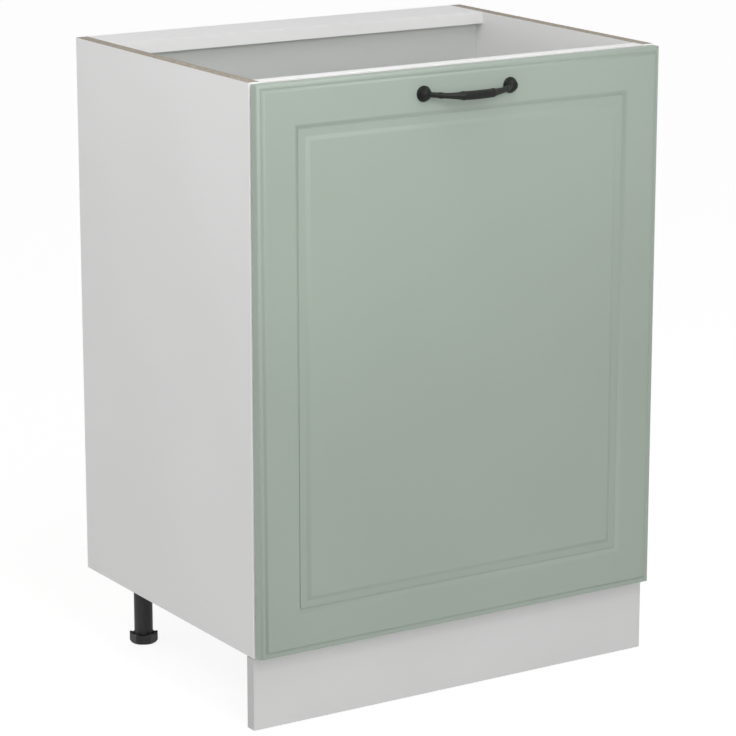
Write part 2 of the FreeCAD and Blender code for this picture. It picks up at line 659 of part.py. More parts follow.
    # inner link: cranked, between the cheeks
    link_low = f"( {level} - inner_link_half_width )"
    link_height = "( inner_link_half_width * 2 )"
    link_blank = fuse(f"{hinge_name}_inner_link_blank", [
        eye(f"inner_eye_arm_{hinge_name}", ARM_INNER, INNER_EYE, link_low, link_height),
        bar(f"inner_bar_arm_{hinge_name}", ARM_INNER, INNER_ELBOW, INNER_LINK_HALF, link_low, link_height),
        eye(f"inner_eye_elbow_{hinge_name}", INNER_ELBOW, INNER_LINK_HALF, link_low, link_height),
        bar(f"inner_bar_cup_{hinge_name}", INNER_ELBOW, CUP_INNER, INNER_LINK_HALF, link_low, link_height),
        eye(f"inner_eye_cup_{hinge_name}", CUP_INNER, INNER_EYE, link_low, link_height)])
    node(cut(f"{hinge_name}_inner_link", link_blank, [
        eye(f"inner_hole_arm_{hinge_name}", ARM_INNER, "link_hole_radius", link_low, link_height),
        eye(f"inner_hole_cup_{hinge_name}", CUP_INNER, "link_hole_radius", link_low, link_height)]),
        f"{hinge_name}_inner_link")
    # outer link: a pair of straight plates outside the cheeks, each with a stub pin at the cup's end
    plates = []
    plate_height = "( outer_link_outer - outer_link_inner )"
    for plate_hand in (-1, 1):
        low = f"( {level} + outer_link_inner )" if plate_hand > 0 else f"( {level} - outer_link_outer )"
        stub_low = low if plate_hand > 0 else f"( {level} - free_pin_end )"
        tag = f"{hinge_name}_{plate_hand + 1}"
        plate_blank = fuse(f"outer_plate_{tag}", [
            eye(f"outer_eye_arm_{tag}", ARM_OUTER, OUTER_EYE, low, plate_height),
            bar(f"outer_bar_{tag}", ARM_OUTER, CUP_OUTER, OUTER_LINK_HALF, low, plate_height),
            eye(f"outer_eye_cup_{tag}", CUP_OUTER, OUTER_EYE, low, plate_height),
            eye(f"outer_stub_{tag}", CUP_OUTER, "free_pin_radius", stub_low,
                "( free_pin_end - outer_link_inner )")])
        plates.append(cut(f"outer_link_plate_{tag}", plate_blank, [
            eye(f"outer_hole_{tag}", ARM_OUTER, "link_hole_radius", low, plate_height)]))
    node(group(f"{hinge_name}_outer_link_pair", plates), f"{hinge_name}_outer_link")
    # cup: a flanged pot let into the door, open at both ends of the links' sweep, with lugs for the inner
    # link's pin
    cup_x = f"( {HALF} - door_reveal - cup_from_edge )"
    cup_floor = f"( {DOOR_BACK} - cup_depth )"
    pot = rod(f"{hinge_name}_pot", "cup_radius", "cup_depth", (cup_x, cup_floor, level), "y")
    flange = block(f"{hinge_name}_cup_flange", (f"( {cup_x} - cup_flange_inner )", DOOR_BACK,
                                                f"( {level} - cup_flange_half )"),
                   ("cup_flange_width", "cup_flange_thickness", "( cup_flange_half * 2 )"))
    hollow_length = "( cup_depth + cup_flange_thickness )"
    hollow = rod(f"{hinge_name}_pot_hollow", "( cup_radius - cup_wall )", hollow_length,
                 (cup_x, f"( {cup_floor} + cup_wall )", level), "y")
    flange_notch = block(f"{hinge_name}_flange_notch", (f"( {cup_x} - cup_opening_half )", DOOR_BACK,
                                                        f"( {level} - cup_notch_half )"),
                         ("( cup_opening_half * 2 )", "cup_flange_thickness", "( cup_notch_half * 2 )"))
    wall_notch = block(f"{hinge_name}_wall_notch",
                       (f"( {cup_x} + cup_opening_start )", f"( {DOOR_BACK} - cup_opening_depth )",
                        f"( {level} - cup_notch_half )"),
                       ("cup_opening_length", "cup_opening_depth", "( cup_notch_half * 2 )"))
    cup_tools = [hollow, flange_notch, wall_notch]
    for dz in (-1, 1):
        screw_x = f"( {cup_x} - cup_screw_offset )"
        screw_z = f"( {level} + cup_screw_spacing / 2 * {dz} )"
        start = (screw_x, f"( {DOOR_BACK} - cup_screw_length )", screw_z)
        whole = "( cup_screw_length + cup_flange_thickness )"
        head_start = (screw_x, f"( {DOOR_BACK} + cup_flange_thickness )", screw_z)
        tag = f"{hinge_name}_{dz + 1}"
        cup_screws.append(fuse(f"cup_screw_{tag}", [
            rod(f"cup_screw_shank_{tag}", "cup_screw_radius", whole, start, "y"),
            rod(f"cup_screw_head_{tag}", "cup_screw_head_radius", "cup_screw_head", head_start, "y")]))
        cup_tools.append(rod(f"cup_screw_way_{tag}", "cup_screw_radius", whole, start, "y"))
        door_holes.append(rod(f"cup_screw_hole_{tag}", "cup_screw_radius", whole, start, "y"))
    door_holes.append(rod(f"cup_bore_{hinge_name}", "cup_bore_radius", "cup_bore_depth",
                          (cup_x, f"( {DOOR_BACK} - cup_bore_depth )", level), "y"))
    pot_blank = cut(f"{hinge_name}_pot_shell", fuse(f"{hinge_name}_pot_blank", [pot, flange]), cup_tools)
    lugs = []
    lug_height = str(LUG_OUTER - LUG_INNER)
    lug_x, lug_y = plan(CUP_INNER)
    for lug_hand in (-1, 1):
        low = f"( {level} + {LUG_INNER} )" if lug_hand > 0 else f"( {level} - {LUG_OUTER} )"
        tag = f"{hinge_name}_{lug_hand + 1}"
        lugs.append(block(f"lug_{tag}", (f"( {lug_x} - {LUG_HALF} )", f"( {cup_floor} + cup_wall / 2 )",
                                         low),
                          (str(LUG_HALF * 2), f"( {lug_y} - {cup_floor} - cup_wall / 2 )", lug_height)))
        lugs.append(eye(f"lug_eye_{tag}", CUP_INNER, LUG_HALF, low, lug_height))
    pin_low = f"( {level} - {LUG_OUTER} )"
    pin_height = str(LUG_OUTER * 2)
    node(cut(f"{hinge_name}_cup", fuse(f"{hinge_name}_cup_blank", [pot_blank] + lugs), [
        eye(f"lug_hole_{hinge_name}", CUP_INNER, "link_pin_radius", pin_low,
            pin_height)]), f"{hinge_name}_hinge_cup")
    cup_pins.append(eye(f"cup_pin_{hinge_name}", CUP_INNER, "link_pin_radius", pin_low, pin_height))

node(group("plate_screws", plate_screws), "hinge_plate_screws")
node(group("clamp_screws", clamp_screws), "hinge_clamp_screws")
node(group("cup_screws", cup_screws), "hinge_cup_screws")
node(group("arm_pins", arm_pins), "hinge_arm_pins")
node(group("cup_pins", cup_pins), "hinge_cup_pins")


# Door panel: a slab with a rounded rim, a raised field, and a routed groove round a raised middle panel.
def origin_plane(body, role):
    """One of a body's own origin planes."""
    return next(feature for feature in body.Origin.OriginFeatures if feature.Role == role)


def flat_sketch(body, name, role, offset):
    """A sketch on one of a body's origin planes, moved along its normal."""
    sketch = body.newObject("Sketcher::SketchObject", name)
    sketch.AttachmentSupport = (origin_plane(body, role), [""])
    sketch.MapMode = "FlatFace"
    sketch.setExpression("AttachmentOffset.Base.z", named(offset))
    return sketch


def centred_rectangle(sketch, wide, tall):
    """A rectangle about the sketch's origin, with its two sizes bound to expressions."""
    corners = [FreeCAD.Vector(sx * 100, sy * 100, 0) for sx, sy in ((-1, -1), (1, -1), (1, 1), (-1, 1))]
    for index in range(4):
        sketch.addGeometry(Part.LineSegment(corners[index], corners[(index + 1) % 4]), False)
    for index in range(4):
        sketch.addConstraint(Sketcher.Constraint("Coincident", index, 2, (index + 1) % 4, 1))
    for index, kind in enumerate(("Horizontal", "Vertical", "Horizontal", "Vertical")):
        sketch.addConstraint(Sketcher.Constraint(kind, index))
    sketch.addConstraint(Sketcher.Constraint("Symmetric", 0, 1, 2, 1, -1, 1))
    for geometry, kind, size, name in ((0, "DistanceX", wide, "wide"), (1, "DistanceY", tall, "tall")):
        index = sketch.addConstraint(Sketcher.Constraint(kind, geometry, 1, geometry, 2, 200))
        sketch.renameConstraint(index, name)
        sketch.setExpression(f"Constraints.{name}", named(size))


def front_edges(feature, depth):
    """Names of the edges in the plane Y = -depth of the door's own frame."""
    names = []
    for index, edge in enumerate(feature.Shape.Edges, start=1):
        if all(abs(vertex.Y + depth) < 1e-6 for vertex in edge.Vertexes):
            names.append(f"Edge{index}")
    return names


DOOR_WIDE = "( width - door_reveal * 2 )"
DOOR_TALL = "( carcass_height - door_reveal * 2 )"
door = doc.addObject("PartDesign::Body", "door_body")


def door_layer(name, kind, inset, offset, length, taper="0"):
    """One rectangular layer of the door, added or taken away, inset from the door's edge."""
    sketch = flat_sketch(door, name + "_sketch", "XZ_Plane", offset)
    centred_rectangle(sketch, f"{DOOR_WIDE} - 2 * {inset}", f"{DOOR_TALL} - 2 * {inset}")
    layer = door.newObject(kind, name)
    layer.Profile = sketch
    bind(layer, Length=length, TaperAngle=taper)
    doc.recompute()
    return layer


def soften(name, depth, radius):
    """Round all the door's edges in one plane parallel to its face."""
    base = door.Tip
    edges = front_edges(base, depth)
    rounding = door.newObject("PartDesign::Fillet", name)
    rounding.Base = (base, edges)
    bind(rounding, Radius=radius)
    doc.recompute()


slab = "( door_thickness - rim_step )"
groove_floor = "( door_thickness - groove_depth )"
bead_level = f"( {groove_floor} + bead_height )"
panel_rise = f"( door_thickness - {bead_level} )"
door_layer("door_slab", "PartDesign::Pad", "0", "0", slab)
soften("door_rim", cell("door_thickness") - cell("rim_step"), "rim_radius")
door_layer("door_field", "PartDesign::Pad", "rim_inset", slab, "rim_step", "-35")
volume_before = door.Shape.Volume
door_layer("door_groove", "PartDesign::Pocket", "frame_width", "door_thickness", "groove_depth",
           "0 - atan( groove_slope / groove_depth ) / 1 deg")
print("groove takes", round((volume_before - door.Shape.Volume) / 1000), "cm3")
door_layer("door_bead", "PartDesign::Pad", "bead_inset", groove_floor, "bead_height")
door_layer("door_raised_panel", "PartDesign::Pad", "panel_foot", bead_level, panel_rise,
           f"0 - atan( ( panel_edge - panel_foot ) / {panel_rise} ) / 1 deg")
put(door, "0", DOOR_BACK, "( leg_height + carcass_height / 2 )")

handle_z = f"( {TOP} - handle_below_top )"
handle_screws = []
handle_screw_tools = []
for screw_hand in (-1, 1):
    screw_x = mirror_text(screw_hand, "( handle_spacing / 2 )")
    whole = "( door_thickness + handle_screw_in )"
    start = (screw_x, f"( {DOOR_BACK} - {whole} )", handle_z)
    tag = screw_hand + 1
    handle_screws.append(fuse(f"handle_screw_{tag}", [
        rod(f"handle_screw_shank_{tag}", "handle_screw_radius", whole, start, "y"),
        rod(f"handle_screw_head_{tag}", "handle_screw_head_radius", "handle_screw_head",
            (screw_x, DOOR_BACK, handle_z), "y")]))
    handle_screw_tools.append(rod(f"handle_screw_way_{tag}", "handle_screw_radius", whole, start, "y"))
    door_holes.append(rod(f"handle_screw_hole_{tag}", "handle_screw_radius", whole, start, "y"))
node(group("handle_screws", handle_screws), "handle_screws")
node(cut("door_drilled", door, door_holes), "door_panel")

# Handle: two domed rosettes and a bowed grip, thin at its necks and full in the middle.
handle_body = doc.addObject("PartDesign::Body", "handle_body")
GRIP_STATIONS = (-1, -0.82, -0.62, -0.4, -0.2, 0, 0.2, 0.4, 0.62, 0.82, 1)
GRIP_HALF = "( handle_spacing / 2 - 2 )"
GRIP_BOW = "( handle_reach - handle_grip_radius - handle_root )"


def grip_fullness(share):
    """How far the grip has swelled from its neck, 0 to 1, at a share of its half length."""
    return max(0.0, 1 - (abs(share) / 0.62) ** 2) if abs(share) < 0.62 else 0.0


sections = []
for index, share in enumerate(GRIP_STATIONS):
    station = flat_sketch(handle_body, f"grip_{index}", "YZ_Plane", f"{GRIP_HALF} * {share}")
    station.addGeometry(Part.Circle(FreeCAD.Vector(-10, 0, 0), FreeCAD.Vector(0, 0, 1), 4), False)
    radius_index = station.addConstraint(Sketcher.Constraint("Radius", 0, 4))
    station.renameConstraint(radius_index, "thick")
    swell = grip_fullness(share)
    fullness = f"( handle_grip_radius - handle_neck_radius ) * {swell}"
    station.setExpression("Constraints.thick", named(f"handle_neck_radius + {fullness}"))
    out_index = station.addConstraint(Sketcher.Constraint("DistanceX", 0, 3, -1, 1, 10))
    station.renameConstraint(out_index, "out")
    rise = 1 - abs(share) ** 2.4
    station.setExpression("Constraints.out", named(f"handle_root + {GRIP_BOW} * {rise}"))
    if rise > 0:
        drop_index = station.addConstraint(Sketcher.Constraint("DistanceY", 0, 3, -1, 1, 1))
        station.renameConstraint(drop_index, "drop")
        station.setExpression("Constraints.drop", named(f"handle_droop * {rise}"))
    else:
        station.addConstraint(Sketcher.Constraint("PointOnObject", 0, 3, -1))
    sections.append(station)
grip = handle_body.newObject("PartDesign::AdditiveLoft", "grip")
grip.Profile = sections[0]
grip.Sections = sections[1:]
doc.recompute()


def rosette(name, hand):
    """One domed rosette, turned about an axis square to the door."""
    sketch = flat_sketch(handle_body, name + "_sketch", "XY_Plane", "0")
    sketch.setExpression("AttachmentOffset.Base.x", named(mirror_text(hand, "( handle_spacing / 2 )")))
    rim = cell("rosette_radius")
    low = -cell("rosette_rim")
    high = -cell("rosette_height")
    cap = cell("rosette_top_radius")
    points = [FreeCAD.Vector(*place, 0) for place in ((0, 0), (rim, 0), (rim, low), (cap, high), (0, high))]
    middle = FreeCAD.Vector(rim - 1.6, (low + high) / 2 - 0.4, 0)
    for start, end in ((0, 1), (1, 2)):
        sketch.addGeometry(Part.LineSegment(points[start], points[end]), False)
    sketch.addGeometry(Part.Arc(points[2], middle, points[3]), False)
    for start, end in ((3, 4), (4, 0)):
        sketch.addGeometry(Part.LineSegment(points[start], points[end]), False)
    for index in range(5):
        start_point = 1
        end_point = 2
        if index == 2:
            start_point, end_point = 2, 1
        next_start = 2 if (index + 1) % 5 == 2 else 1
        sketch.addConstraint(Sketcher.Constraint("Coincident", index, end_point, (index + 1) % 5,
                                                 next_start))
    turned = handle_body.newObject("PartDesign::Revolution", name)
    turned.Profile = sketch
    turned.ReferenceAxis = (sketch, ["V_Axis"])
    turned.Angle = 360
    doc.recompute()


for side_name, side_hand in HANDS:
    rosette(f"rosette_{side_name}", side_hand)
put(handle_body, "0", DOOR_FACE, handle_z)
node(cut("handle_drilled", handle_body, handle_screw_tools), "handle")

# Buffers inside the door's free edge.
buffers = []
for end_name, buffer_z in (("low", "( leg_height + buffer_from_end )"), ("high",
                                                                         f"( {TOP} - buffer_from_end )")):
    buffer_x = f"( door_reveal + buffer_inset - {HALF} )"
    buffers.append(rod(f"buffer_{end_name}", "buffer_radius", "buffer_thickness", (buffer_x, DOOR_BACK,
                                                                                   buffer_z), "y"))
node(group("buffers", buffers), "door_buffers")

# Boards of the carcass, drilled for the fittings above.
panel_front = f"( {FRONT} + band )"
panel_depth = "( carcass_depth - band )"
for side_name, side_hand in HANDS:
    side_x = span(side_hand, INNER, "board")
    side = block(f"{side_name}_side_blank", (side_x, panel_front, "leg_height"), ("board", panel_depth,
                                                                                  "carcass_height"))
    node(cut(f"{side_name}_side", side, side_holes[side_hand]), f"{side_name}_side_panel")
    node(block(f"{side_name}_band", (side_x, FRONT, "leg_height"), ("board", "band", "carcass_height")),
         f"{side_name}_edge_band")
bottom = block("bottom_blank", (left_inner, panel_front, "leg_height"), (inner_width, panel_depth, "board"))
node(cut("bottom", bottom, bottom_holes), "bottom_panel")
node(block("bottom_band", (left_inner, FRONT, "leg_height"), (inner_width, "band", "board")),
     "bottom_edge_band")
rear_rail = block("rear_rail_blank", (left_inner, rear_rail_front, rear_rail_low), (inner_width,
                                                                                    "rail_width", "board"))
node(cut("rear_rail", rear_rail, rear_rail_holes), "rear_rail")
front_rail_y = f"( {FRONT} + front_rail_setback )"
front_rail = block("front_rail_blank", (left_inner, front_rail_y, front_rail_low),
                   (inner_width, "board", "( rail_width - band )"))
node(cut("front_rail", front_rail, front_rail_holes), "front_rail")
node(block("front_rail_band", (left_inner, front_rail_y, f"( {TOP} - band )"), (inner_width, "board",
                                                                                "band")),
     "front_rail_edge_band")
back_wide = f"( {inner_width} + back_in_slot * 2 )"
node(block("back", (f"( 0 - {back_wide} / 2 )", back_front, "( leg_height + board - back_in_slot )"),
           (back_wide, "back_thickness", "( carcass_height - board * 2 + back_in_slot * 2 )")), "back_panel")
shelf_wide = f"( {inner_width} - shelf_side_gap * 2 )"
shelf_left = f"( 0 - {shelf_wide} / 2 )"
shelf_front = f"( {back_front} - shelf_rear_gap - shelf_depth )"
node(block("shelf", (shelf_left, f"( {shelf_front} + band )", "shelf_height"),
           (shelf_wide, "( shelf_depth - band )", "board")), "shelf_board")
node(block("shelf_band", (shelf_left, shelf_front, "shelf_height"), (shelf_wide, "band", "board")),
     "shelf_edge_band")
node(group("pins", pins), "shelf_pins")
node(group("cams", cams), "cam_locks")
node(group("bolts", bolts), "cam_bolts")
node(group("dowels", dowels), "wooden_dowels")
node(group("leg_screws", leg_screws), "leg_screws")

doc.recompute()
failed = [item.Name for item in doc.Objects if {"Invalid", "Error"} & set(item.State)]
failed += [item.Label for item in NODES if item.Shape.isNull() or not item.Shape.isValid()]
if failed:
    raise RuntimeError("failed objects: " + ", ".join(failed))

os.makedirs("parts", exist_ok=True)
whole_box = FreeCAD.BoundBox()
for item in NODES:
    whole_box.add(item.Shape.BoundBox)
    item.Shape.exportStep(f"parts/{item.Label}.step")
print(len(NODES), "nodes, box", whole_box)
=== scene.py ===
# %% [markdown]
# A kitchen base cabinet in a white studio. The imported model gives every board, fitting and hinge in its
# real place. This lesson dresses it: camera and light first, then one finish at a time, then the pieces
# whose edges, threads and recesses a plain solid leaves out.

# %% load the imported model
import json
import math

import bmesh
import bpy
from mathutils import Matrix, Vector


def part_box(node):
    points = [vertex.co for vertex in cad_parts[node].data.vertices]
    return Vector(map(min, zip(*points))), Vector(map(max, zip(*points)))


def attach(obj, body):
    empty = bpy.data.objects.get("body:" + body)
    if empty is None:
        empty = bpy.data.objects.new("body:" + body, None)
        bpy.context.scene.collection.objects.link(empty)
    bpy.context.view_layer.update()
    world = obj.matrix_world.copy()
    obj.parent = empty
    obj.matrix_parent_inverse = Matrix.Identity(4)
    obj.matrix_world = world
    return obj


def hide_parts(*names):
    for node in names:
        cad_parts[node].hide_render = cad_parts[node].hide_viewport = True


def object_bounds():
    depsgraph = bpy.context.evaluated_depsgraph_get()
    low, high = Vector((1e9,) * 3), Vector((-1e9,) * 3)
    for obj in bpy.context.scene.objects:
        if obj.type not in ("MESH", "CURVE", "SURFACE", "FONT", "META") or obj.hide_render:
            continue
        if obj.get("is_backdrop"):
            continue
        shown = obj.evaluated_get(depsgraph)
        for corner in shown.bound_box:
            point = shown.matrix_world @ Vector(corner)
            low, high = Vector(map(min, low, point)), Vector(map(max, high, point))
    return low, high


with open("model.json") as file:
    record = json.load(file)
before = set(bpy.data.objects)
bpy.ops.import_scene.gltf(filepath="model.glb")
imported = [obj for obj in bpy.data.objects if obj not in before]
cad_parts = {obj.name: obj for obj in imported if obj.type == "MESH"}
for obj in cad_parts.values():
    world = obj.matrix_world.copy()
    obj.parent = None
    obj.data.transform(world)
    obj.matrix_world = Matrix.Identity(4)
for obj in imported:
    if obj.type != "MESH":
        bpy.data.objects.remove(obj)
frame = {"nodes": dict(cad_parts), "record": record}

nodes = frame["nodes"]
cad_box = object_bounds()
print("nodes:", len(nodes), "box:", [tuple(round(v, 4) for v in corner) for corner in cad_box])

# %% [markdown]
# The photograph was taken from the front left, a little above the cabinet, with a long lens. The camera
# stands about four metres away. Its place and turn were worked out from the corners of the carcass and
# the door.

# %% camera
scene = bpy.context.scene
scene.view_settings.view_transform = "Standard"
PHOTO_SIDE = 736
FOCAL_PIXELS = 3184.5
CAMERA_PLACE = (-2.1809, -3.4286, 1.4092)
CAMERA_PITCH = 14.138
CAMERA_YAW = 32.366

camera_data = bpy.data.cameras.new("camera")
camera_data.sensor_width = 36.0
camera_data.lens = camera_data.sensor_width * FOCAL_PIXELS / PHOTO_SIDE
camera_data.clip_end = 50.0
camera = bpy.data.objects.new("camera", camera_data)
camera.location = CAMERA_PLACE
camera.rotation_euler = (math.radians(90 - CAMERA_PITCH), 0, math.radians(-CAMERA_YAW))
scene.collection.objects.link(camera)
scene.camera = camera
print("lens:", round(camera_data.lens, 1), "mm")

# %% [markdown]
# A studio picture like this has a white floor that runs into a white backdrop, and light from all round
# that leaves hardly any shadow. The world gives that light, as the inside of a light tent does:
# brightest low down, where its walls are, and dimmer overhead. Camera rays, and the rays that metal and
# glass send out, see it as plain white, so the background is white without more light falling on the
# cabinet.

# %% world light
WORLD_LEVEL = 0.22
WALL_LEVEL = 1.26
WALL_FALL = 2.0
world = bpy.data.worlds.new("studio")
world.use_nodes = True
scene.world = world
tree = world.node_tree
tree.nodes.clear()


def calculate(operation, first, second):
    """One calculation in the world's node tree, with two sockets or numbers."""
    node = tree.nodes.new("ShaderNodeMath")
    node.operation = operation
    for socket, value in zip(node.inputs, (first, second)):
        if isinstance(value, (int, float)):
            socket.default_value = value
        else:
            tree.links.new(value, socket)
    return node.outputs[0]


path = tree.nodes.new("ShaderNodeLightPath")
seen = calculate("MAXIMUM", path.outputs["Is Camera Ray"], path.outputs["Is Glossy Ray"])
seen = calculate("MAXIMUM", seen, path.outputs["Is Transmission Ray"])
parts = tree.nodes.new("ShaderNodeSeparateXYZ")
tree.links.new(tree.nodes.new("ShaderNodeTexCoord").outputs["Generated"], parts.inputs[0])
lowness = calculate("SUBTRACT", 1.0, calculate("MAXIMUM", parts.outputs["Z"], 0.0))
walls = calculate("MULTIPLY", calculate("POWER", lowness, WALL_FALL), WALL_LEVEL)
level = calculate("ADD", walls, WORLD_LEVEL)
tent, plain_white = [tree.nodes.new("ShaderNodeBackground") for _ in range(2)]
for light in (tent, plain_white):
    light.inputs["Color"].default_value = (1, 1, 1, 1)
tree.links.new(level, tent.inputs["Strength"])
either_world = tree.nodes.new("ShaderNodeMixShader")
tree.links.new(seen, either_world.inputs["Fac"])
tree.links.new(tent.outputs[0], either_world.inputs[1])
tree.links.new(plain_white.outputs[0], either_world.inputs[2])
world_out = tree.nodes.new("ShaderNodeOutputWorld")
tree.links.new(either_world.outputs[0], world_out.inputs["Surface"])
print("world:", WORLD_LEVEL, "and", WALL_LEVEL, "more at the horizon")

# %% [markdown]
# Soft boxes give the picture its gentle fall of light. One in front and one on the left stand higher
# than the cabinet, so the door and the side are paler at their tops. The left one stands just behind the
# plane of the door, so it lights the side and leaves the door's grooves alone. A large one overhead and
# a small one in front reach over the door, through the open top of the carcass, and light the rail and
# the back.

# %% soft boxes


def soft_box(name, place, aim, size, watts):
    """A rectangular area lamp at a place, turned to face a point."""
    data = bpy.data.lights.new(name, "AREA")
    data.shape = "RECTANGLE"
    data.size, data.size_y = size
    data.energy = watts
    lamp = bpy.data.objects.new(name, data)
    lamp.location = place
    lamp.visible_camera = False
    lamp.rotation_euler = (Vector(aim) - Vector(place)).to_track_quat("-Z", "Y").to_euler()
    scene.collection.objects.link(lamp)


soft_box("front_box", place=(-0.45, -1.3, 1.2), aim=(-0.25, -0.2, 0.42), size=(0.8, 0.8), watts=3.5)
soft_box("left_box", place=(-1.15, -0.12, 1.35), aim=(-0.3, -0.08, 0.6), size=(0.4, 0.4), watts=2.7)
soft_box("over_box", place=(-0.05, -0.75, 2.1), aim=(0.05, 0.1, 0.8), size=(0.9, 0.9), watts=5.7)
soft_box("reach_box", place=(-0.1, -1.1, 1.25), aim=(0, 0.15, 0.78), size=(0.5, 0.3), watts=2.1)

# %% [markdown]
# Every finish below is a few shader nodes. The helpers here add one node, set its inputs or link them,
# and build the things that all the finishes share: soft noise of a known grain size, a blend of two
# colours, a mask for the faces beyond a plane, and a relief. All patterns use object coordinates. Every
# piece sits at the origin, so these are metres in the cabinet's own frame, and a grain size means the
# same on every board.

# %% shader helpers


def feed(material, value, socket):
    """Links a socket to an input, or sets a plain value on it."""
    if isinstance(value, bpy.types.NodeSocket):
        material.node_tree.links.new(value, socket)
    elif socket.type == "RGBA":
        socket.default_value = (*value, 1)
    else:
        socket.default_value = value


def add(material, kind, feeds=None, **options):
    """One shader node with its options set and its inputs fed."""
    node = material.node_tree.nodes.new("ShaderNode" + kind)
    for option, value in options.items():
        setattr(node, option, value)
    for key, value in (feeds or {}).items():
        feed(material, value, node.inputs[key])
    return node


def finish(name, roughness=0.5, metallic=0.0, specular=0.5):
    """A new material, its shader and its object coordinates."""
    material = bpy.data.materials.new(name)
    material.use_nodes = True
    shader = material.node_tree.nodes["Principled BSDF"]
    shader.inputs["Roughness"].default_value = roughness
    shader.inputs["Metallic"].default_value = metallic
    shader.inputs["Specular IOR Level"].default_value = specular
    return material, shader, add(material, "TexCoord").outputs["Object"]


def noise(material, place, size, detail=2.0, stretch=(1, 1, 1)):
    """Soft noise with grains about size metres across, longer along an axis whose stretch is below 1."""
    turned = add(material, "Mapping", {"Vector": place, "Scale": stretch}).outputs[0]
    return add(material, "TexNoise", {"Vector": turned, "Scale": 1 / size, "Detail": detail}).outputs[0]


def spread(material, value, low, high, start=0.35, end=0.65):
    """Stretches the middle of a value's range onto low to high."""
    feeds = {"Value": value, "From Min": start, "From Max": end, "To Min": low, "To Max": high}
    return add(material, "MapRange", feeds).outputs[0]


def mixed(material, share, first, second):
    """A colour between two."""
    return add(material, "Mix", {0: share, 6: first, 7: second}, data_type="RGBA").outputs[2]


def blended(material, share, first, second):
    """A number between two."""
    return add(material, "Mix", {0: share, 2: first, 3: second}, data_type="FLOAT").outputs[0]


def beyond(material, place, planes):
    """1 on faces past any of the planes (axis, sign, limit), 0 elsewhere."""
    parts = add(material, "SeparateXYZ", {0: place})
    mask = None
    for axis, sign, limit in planes:
        side = "GREATER_THAN" if sign > 0 else "LESS_THAN"
        feeds = {0: parts.outputs["XYZ".index(axis)], 1: limit}
        test = add(material, "Math", feeds, operation=side).outputs[0]
        if mask is not None:
            test = add(material, "Math", {0: mask, 1: test}, operation="MAXIMUM").outputs[0]
        mask = test
    return mask


def relief(material, shader, height, depth):
    """Roughens the surface by a height map that is depth metres from low to high."""
    bump = add(material, "Bump", {"Height": height, "Distance": depth, "Strength": 1.0})
    feed(material, bump.outputs[0], shader.inputs["Normal"])


# %% [markdown]
# The floor is one large white sheet. The camera, and the rays that metal and glass send out, see it as
# white paper that is lit from within for the most part and keeps a share of plain paper, so the
# cabinet's shadow stays on it, pale as in the photograph. To all other light it is plain white paper
# that throws light back up.

# %% floor
FLOOR_HALF = 14.0
FLOOR_DROP = 0.0005
PAPER_WHITE = 0.75
PAPER_GLOW = 0.86
PAPER_SHARE = 0.28
floor_mesh = bpy.data.meshes.new("floor")
shape = bmesh.new()
bmesh.ops.create_grid(shape, x_segments=1, y_segments=1, size=FLOOR_HALF)
shape.to_mesh(floor_mesh)
shape.free()
floor = bpy.data.objects.new("floor", floor_mesh)
floor.location = (0, 0, -FLOOR_DROP)
scene.collection.objects.link(floor)
floor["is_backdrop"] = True
paper = bpy.data.materials.new("floor_paper")
paper.use_nodes = True
paper.node_tree.nodes.clear()
ray = add(paper, "LightPath")
seen = ray.outputs["Is Camera Ray"]
for kind in ("Is Glossy Ray", "Is Transmission Ray"):
    seen = add(paper, "Math", {0: seen, 1: ray.outputs[kind]}, operation="MAXIMUM").outputs[0]
plain = add(paper, "BsdfDiffuse", {"Color": (PAPER_WHITE,) * 3})
pale = add(paper, "BsdfDiffuse", {"Color": (PAPER_SHARE,) * 3})
glow = add(paper, "Emission", {"Color": (1, 1, 1), "Strength": PAPER_GLOW})
bright = add(paper, "AddShader", {0: pale.outputs[0], 1: glow.outputs[0]})
either = add(paper, "MixShader", {0: seen, 1: plain.outputs[0], 2: bright.outputs[0]})
add(paper, "OutputMaterial", {0: either.outputs[0]})
floor_mesh.materials.append(paper)
print("floor:", [round(v, 1) for v in floor.dimensions])

# %% [markdown]
# The carcass is melamine-faced chipboard. Its faces are a satin white with the faint peel of the
# pressing plate. The edges that nobody sees in a fitted kitchen are left raw, so they show the chips:
# short grey-brown flakes in a finer crumb. The plinth's sawn ends wear a grey paper edge. A second
# material on those faces would do, but the boards come as one mesh each, so one material with a mask by
# place is simpler: faces past a plane get the chips or the paper. The planes lie just under the faces
# of the imported boards. A tone scales each board's whites: the rails are painted a little whiter,
# painted light from above, and the plinth a little greyer, painted shade low down under the door.

# %% white melamine and its raw edges
FLAKES_PER_METRE = 380.0
CRUMB_SIZE = 0.0011
FLAKE_TONES = ((0.31, 0.270, 0.215), (0.52, 0.475, 0.400))
PIT_TONE = (0.24, 0.200, 0.145)
BOARD_WHITES = ((0.756, 0.756, 0.751), (0.778, 0.778, 0.774))
EDGE_GREYS = ((0.545, 0.545, 0.540), (0.575, 0.575, 0.570))
# The rails' whites are raised: painted light from above, through the open top of the carcass.
RAIL_PAINTED_LIGHT = 1.06
# The plinth's whites are lowered: painted shade, low down and set back under the door.
PLINTH_PAINTED_SHADE = 0.925
SKIN = 0.00015


def chips(material, place):
    """Colour and height of sawn chipboard: coarse flakes in fine crumb."""
    cells = add(material, "TexVoronoi", {"Vector": place, "Scale": FLAKES_PER_METRE, "Randomness": 1.0})
    tone = add(material, "SeparateColor", {0: cells.outputs["Color"]}).outputs[0]
    flakes = mixed(material, tone, *FLAKE_TONES)
    crumb = noise(material, place, CRUMB_SIZE, 3.0)
    dark = spread(material, crumb, 0.55, 0.0)
    return mixed(material, dark, flakes, PIT_TONE), crumb


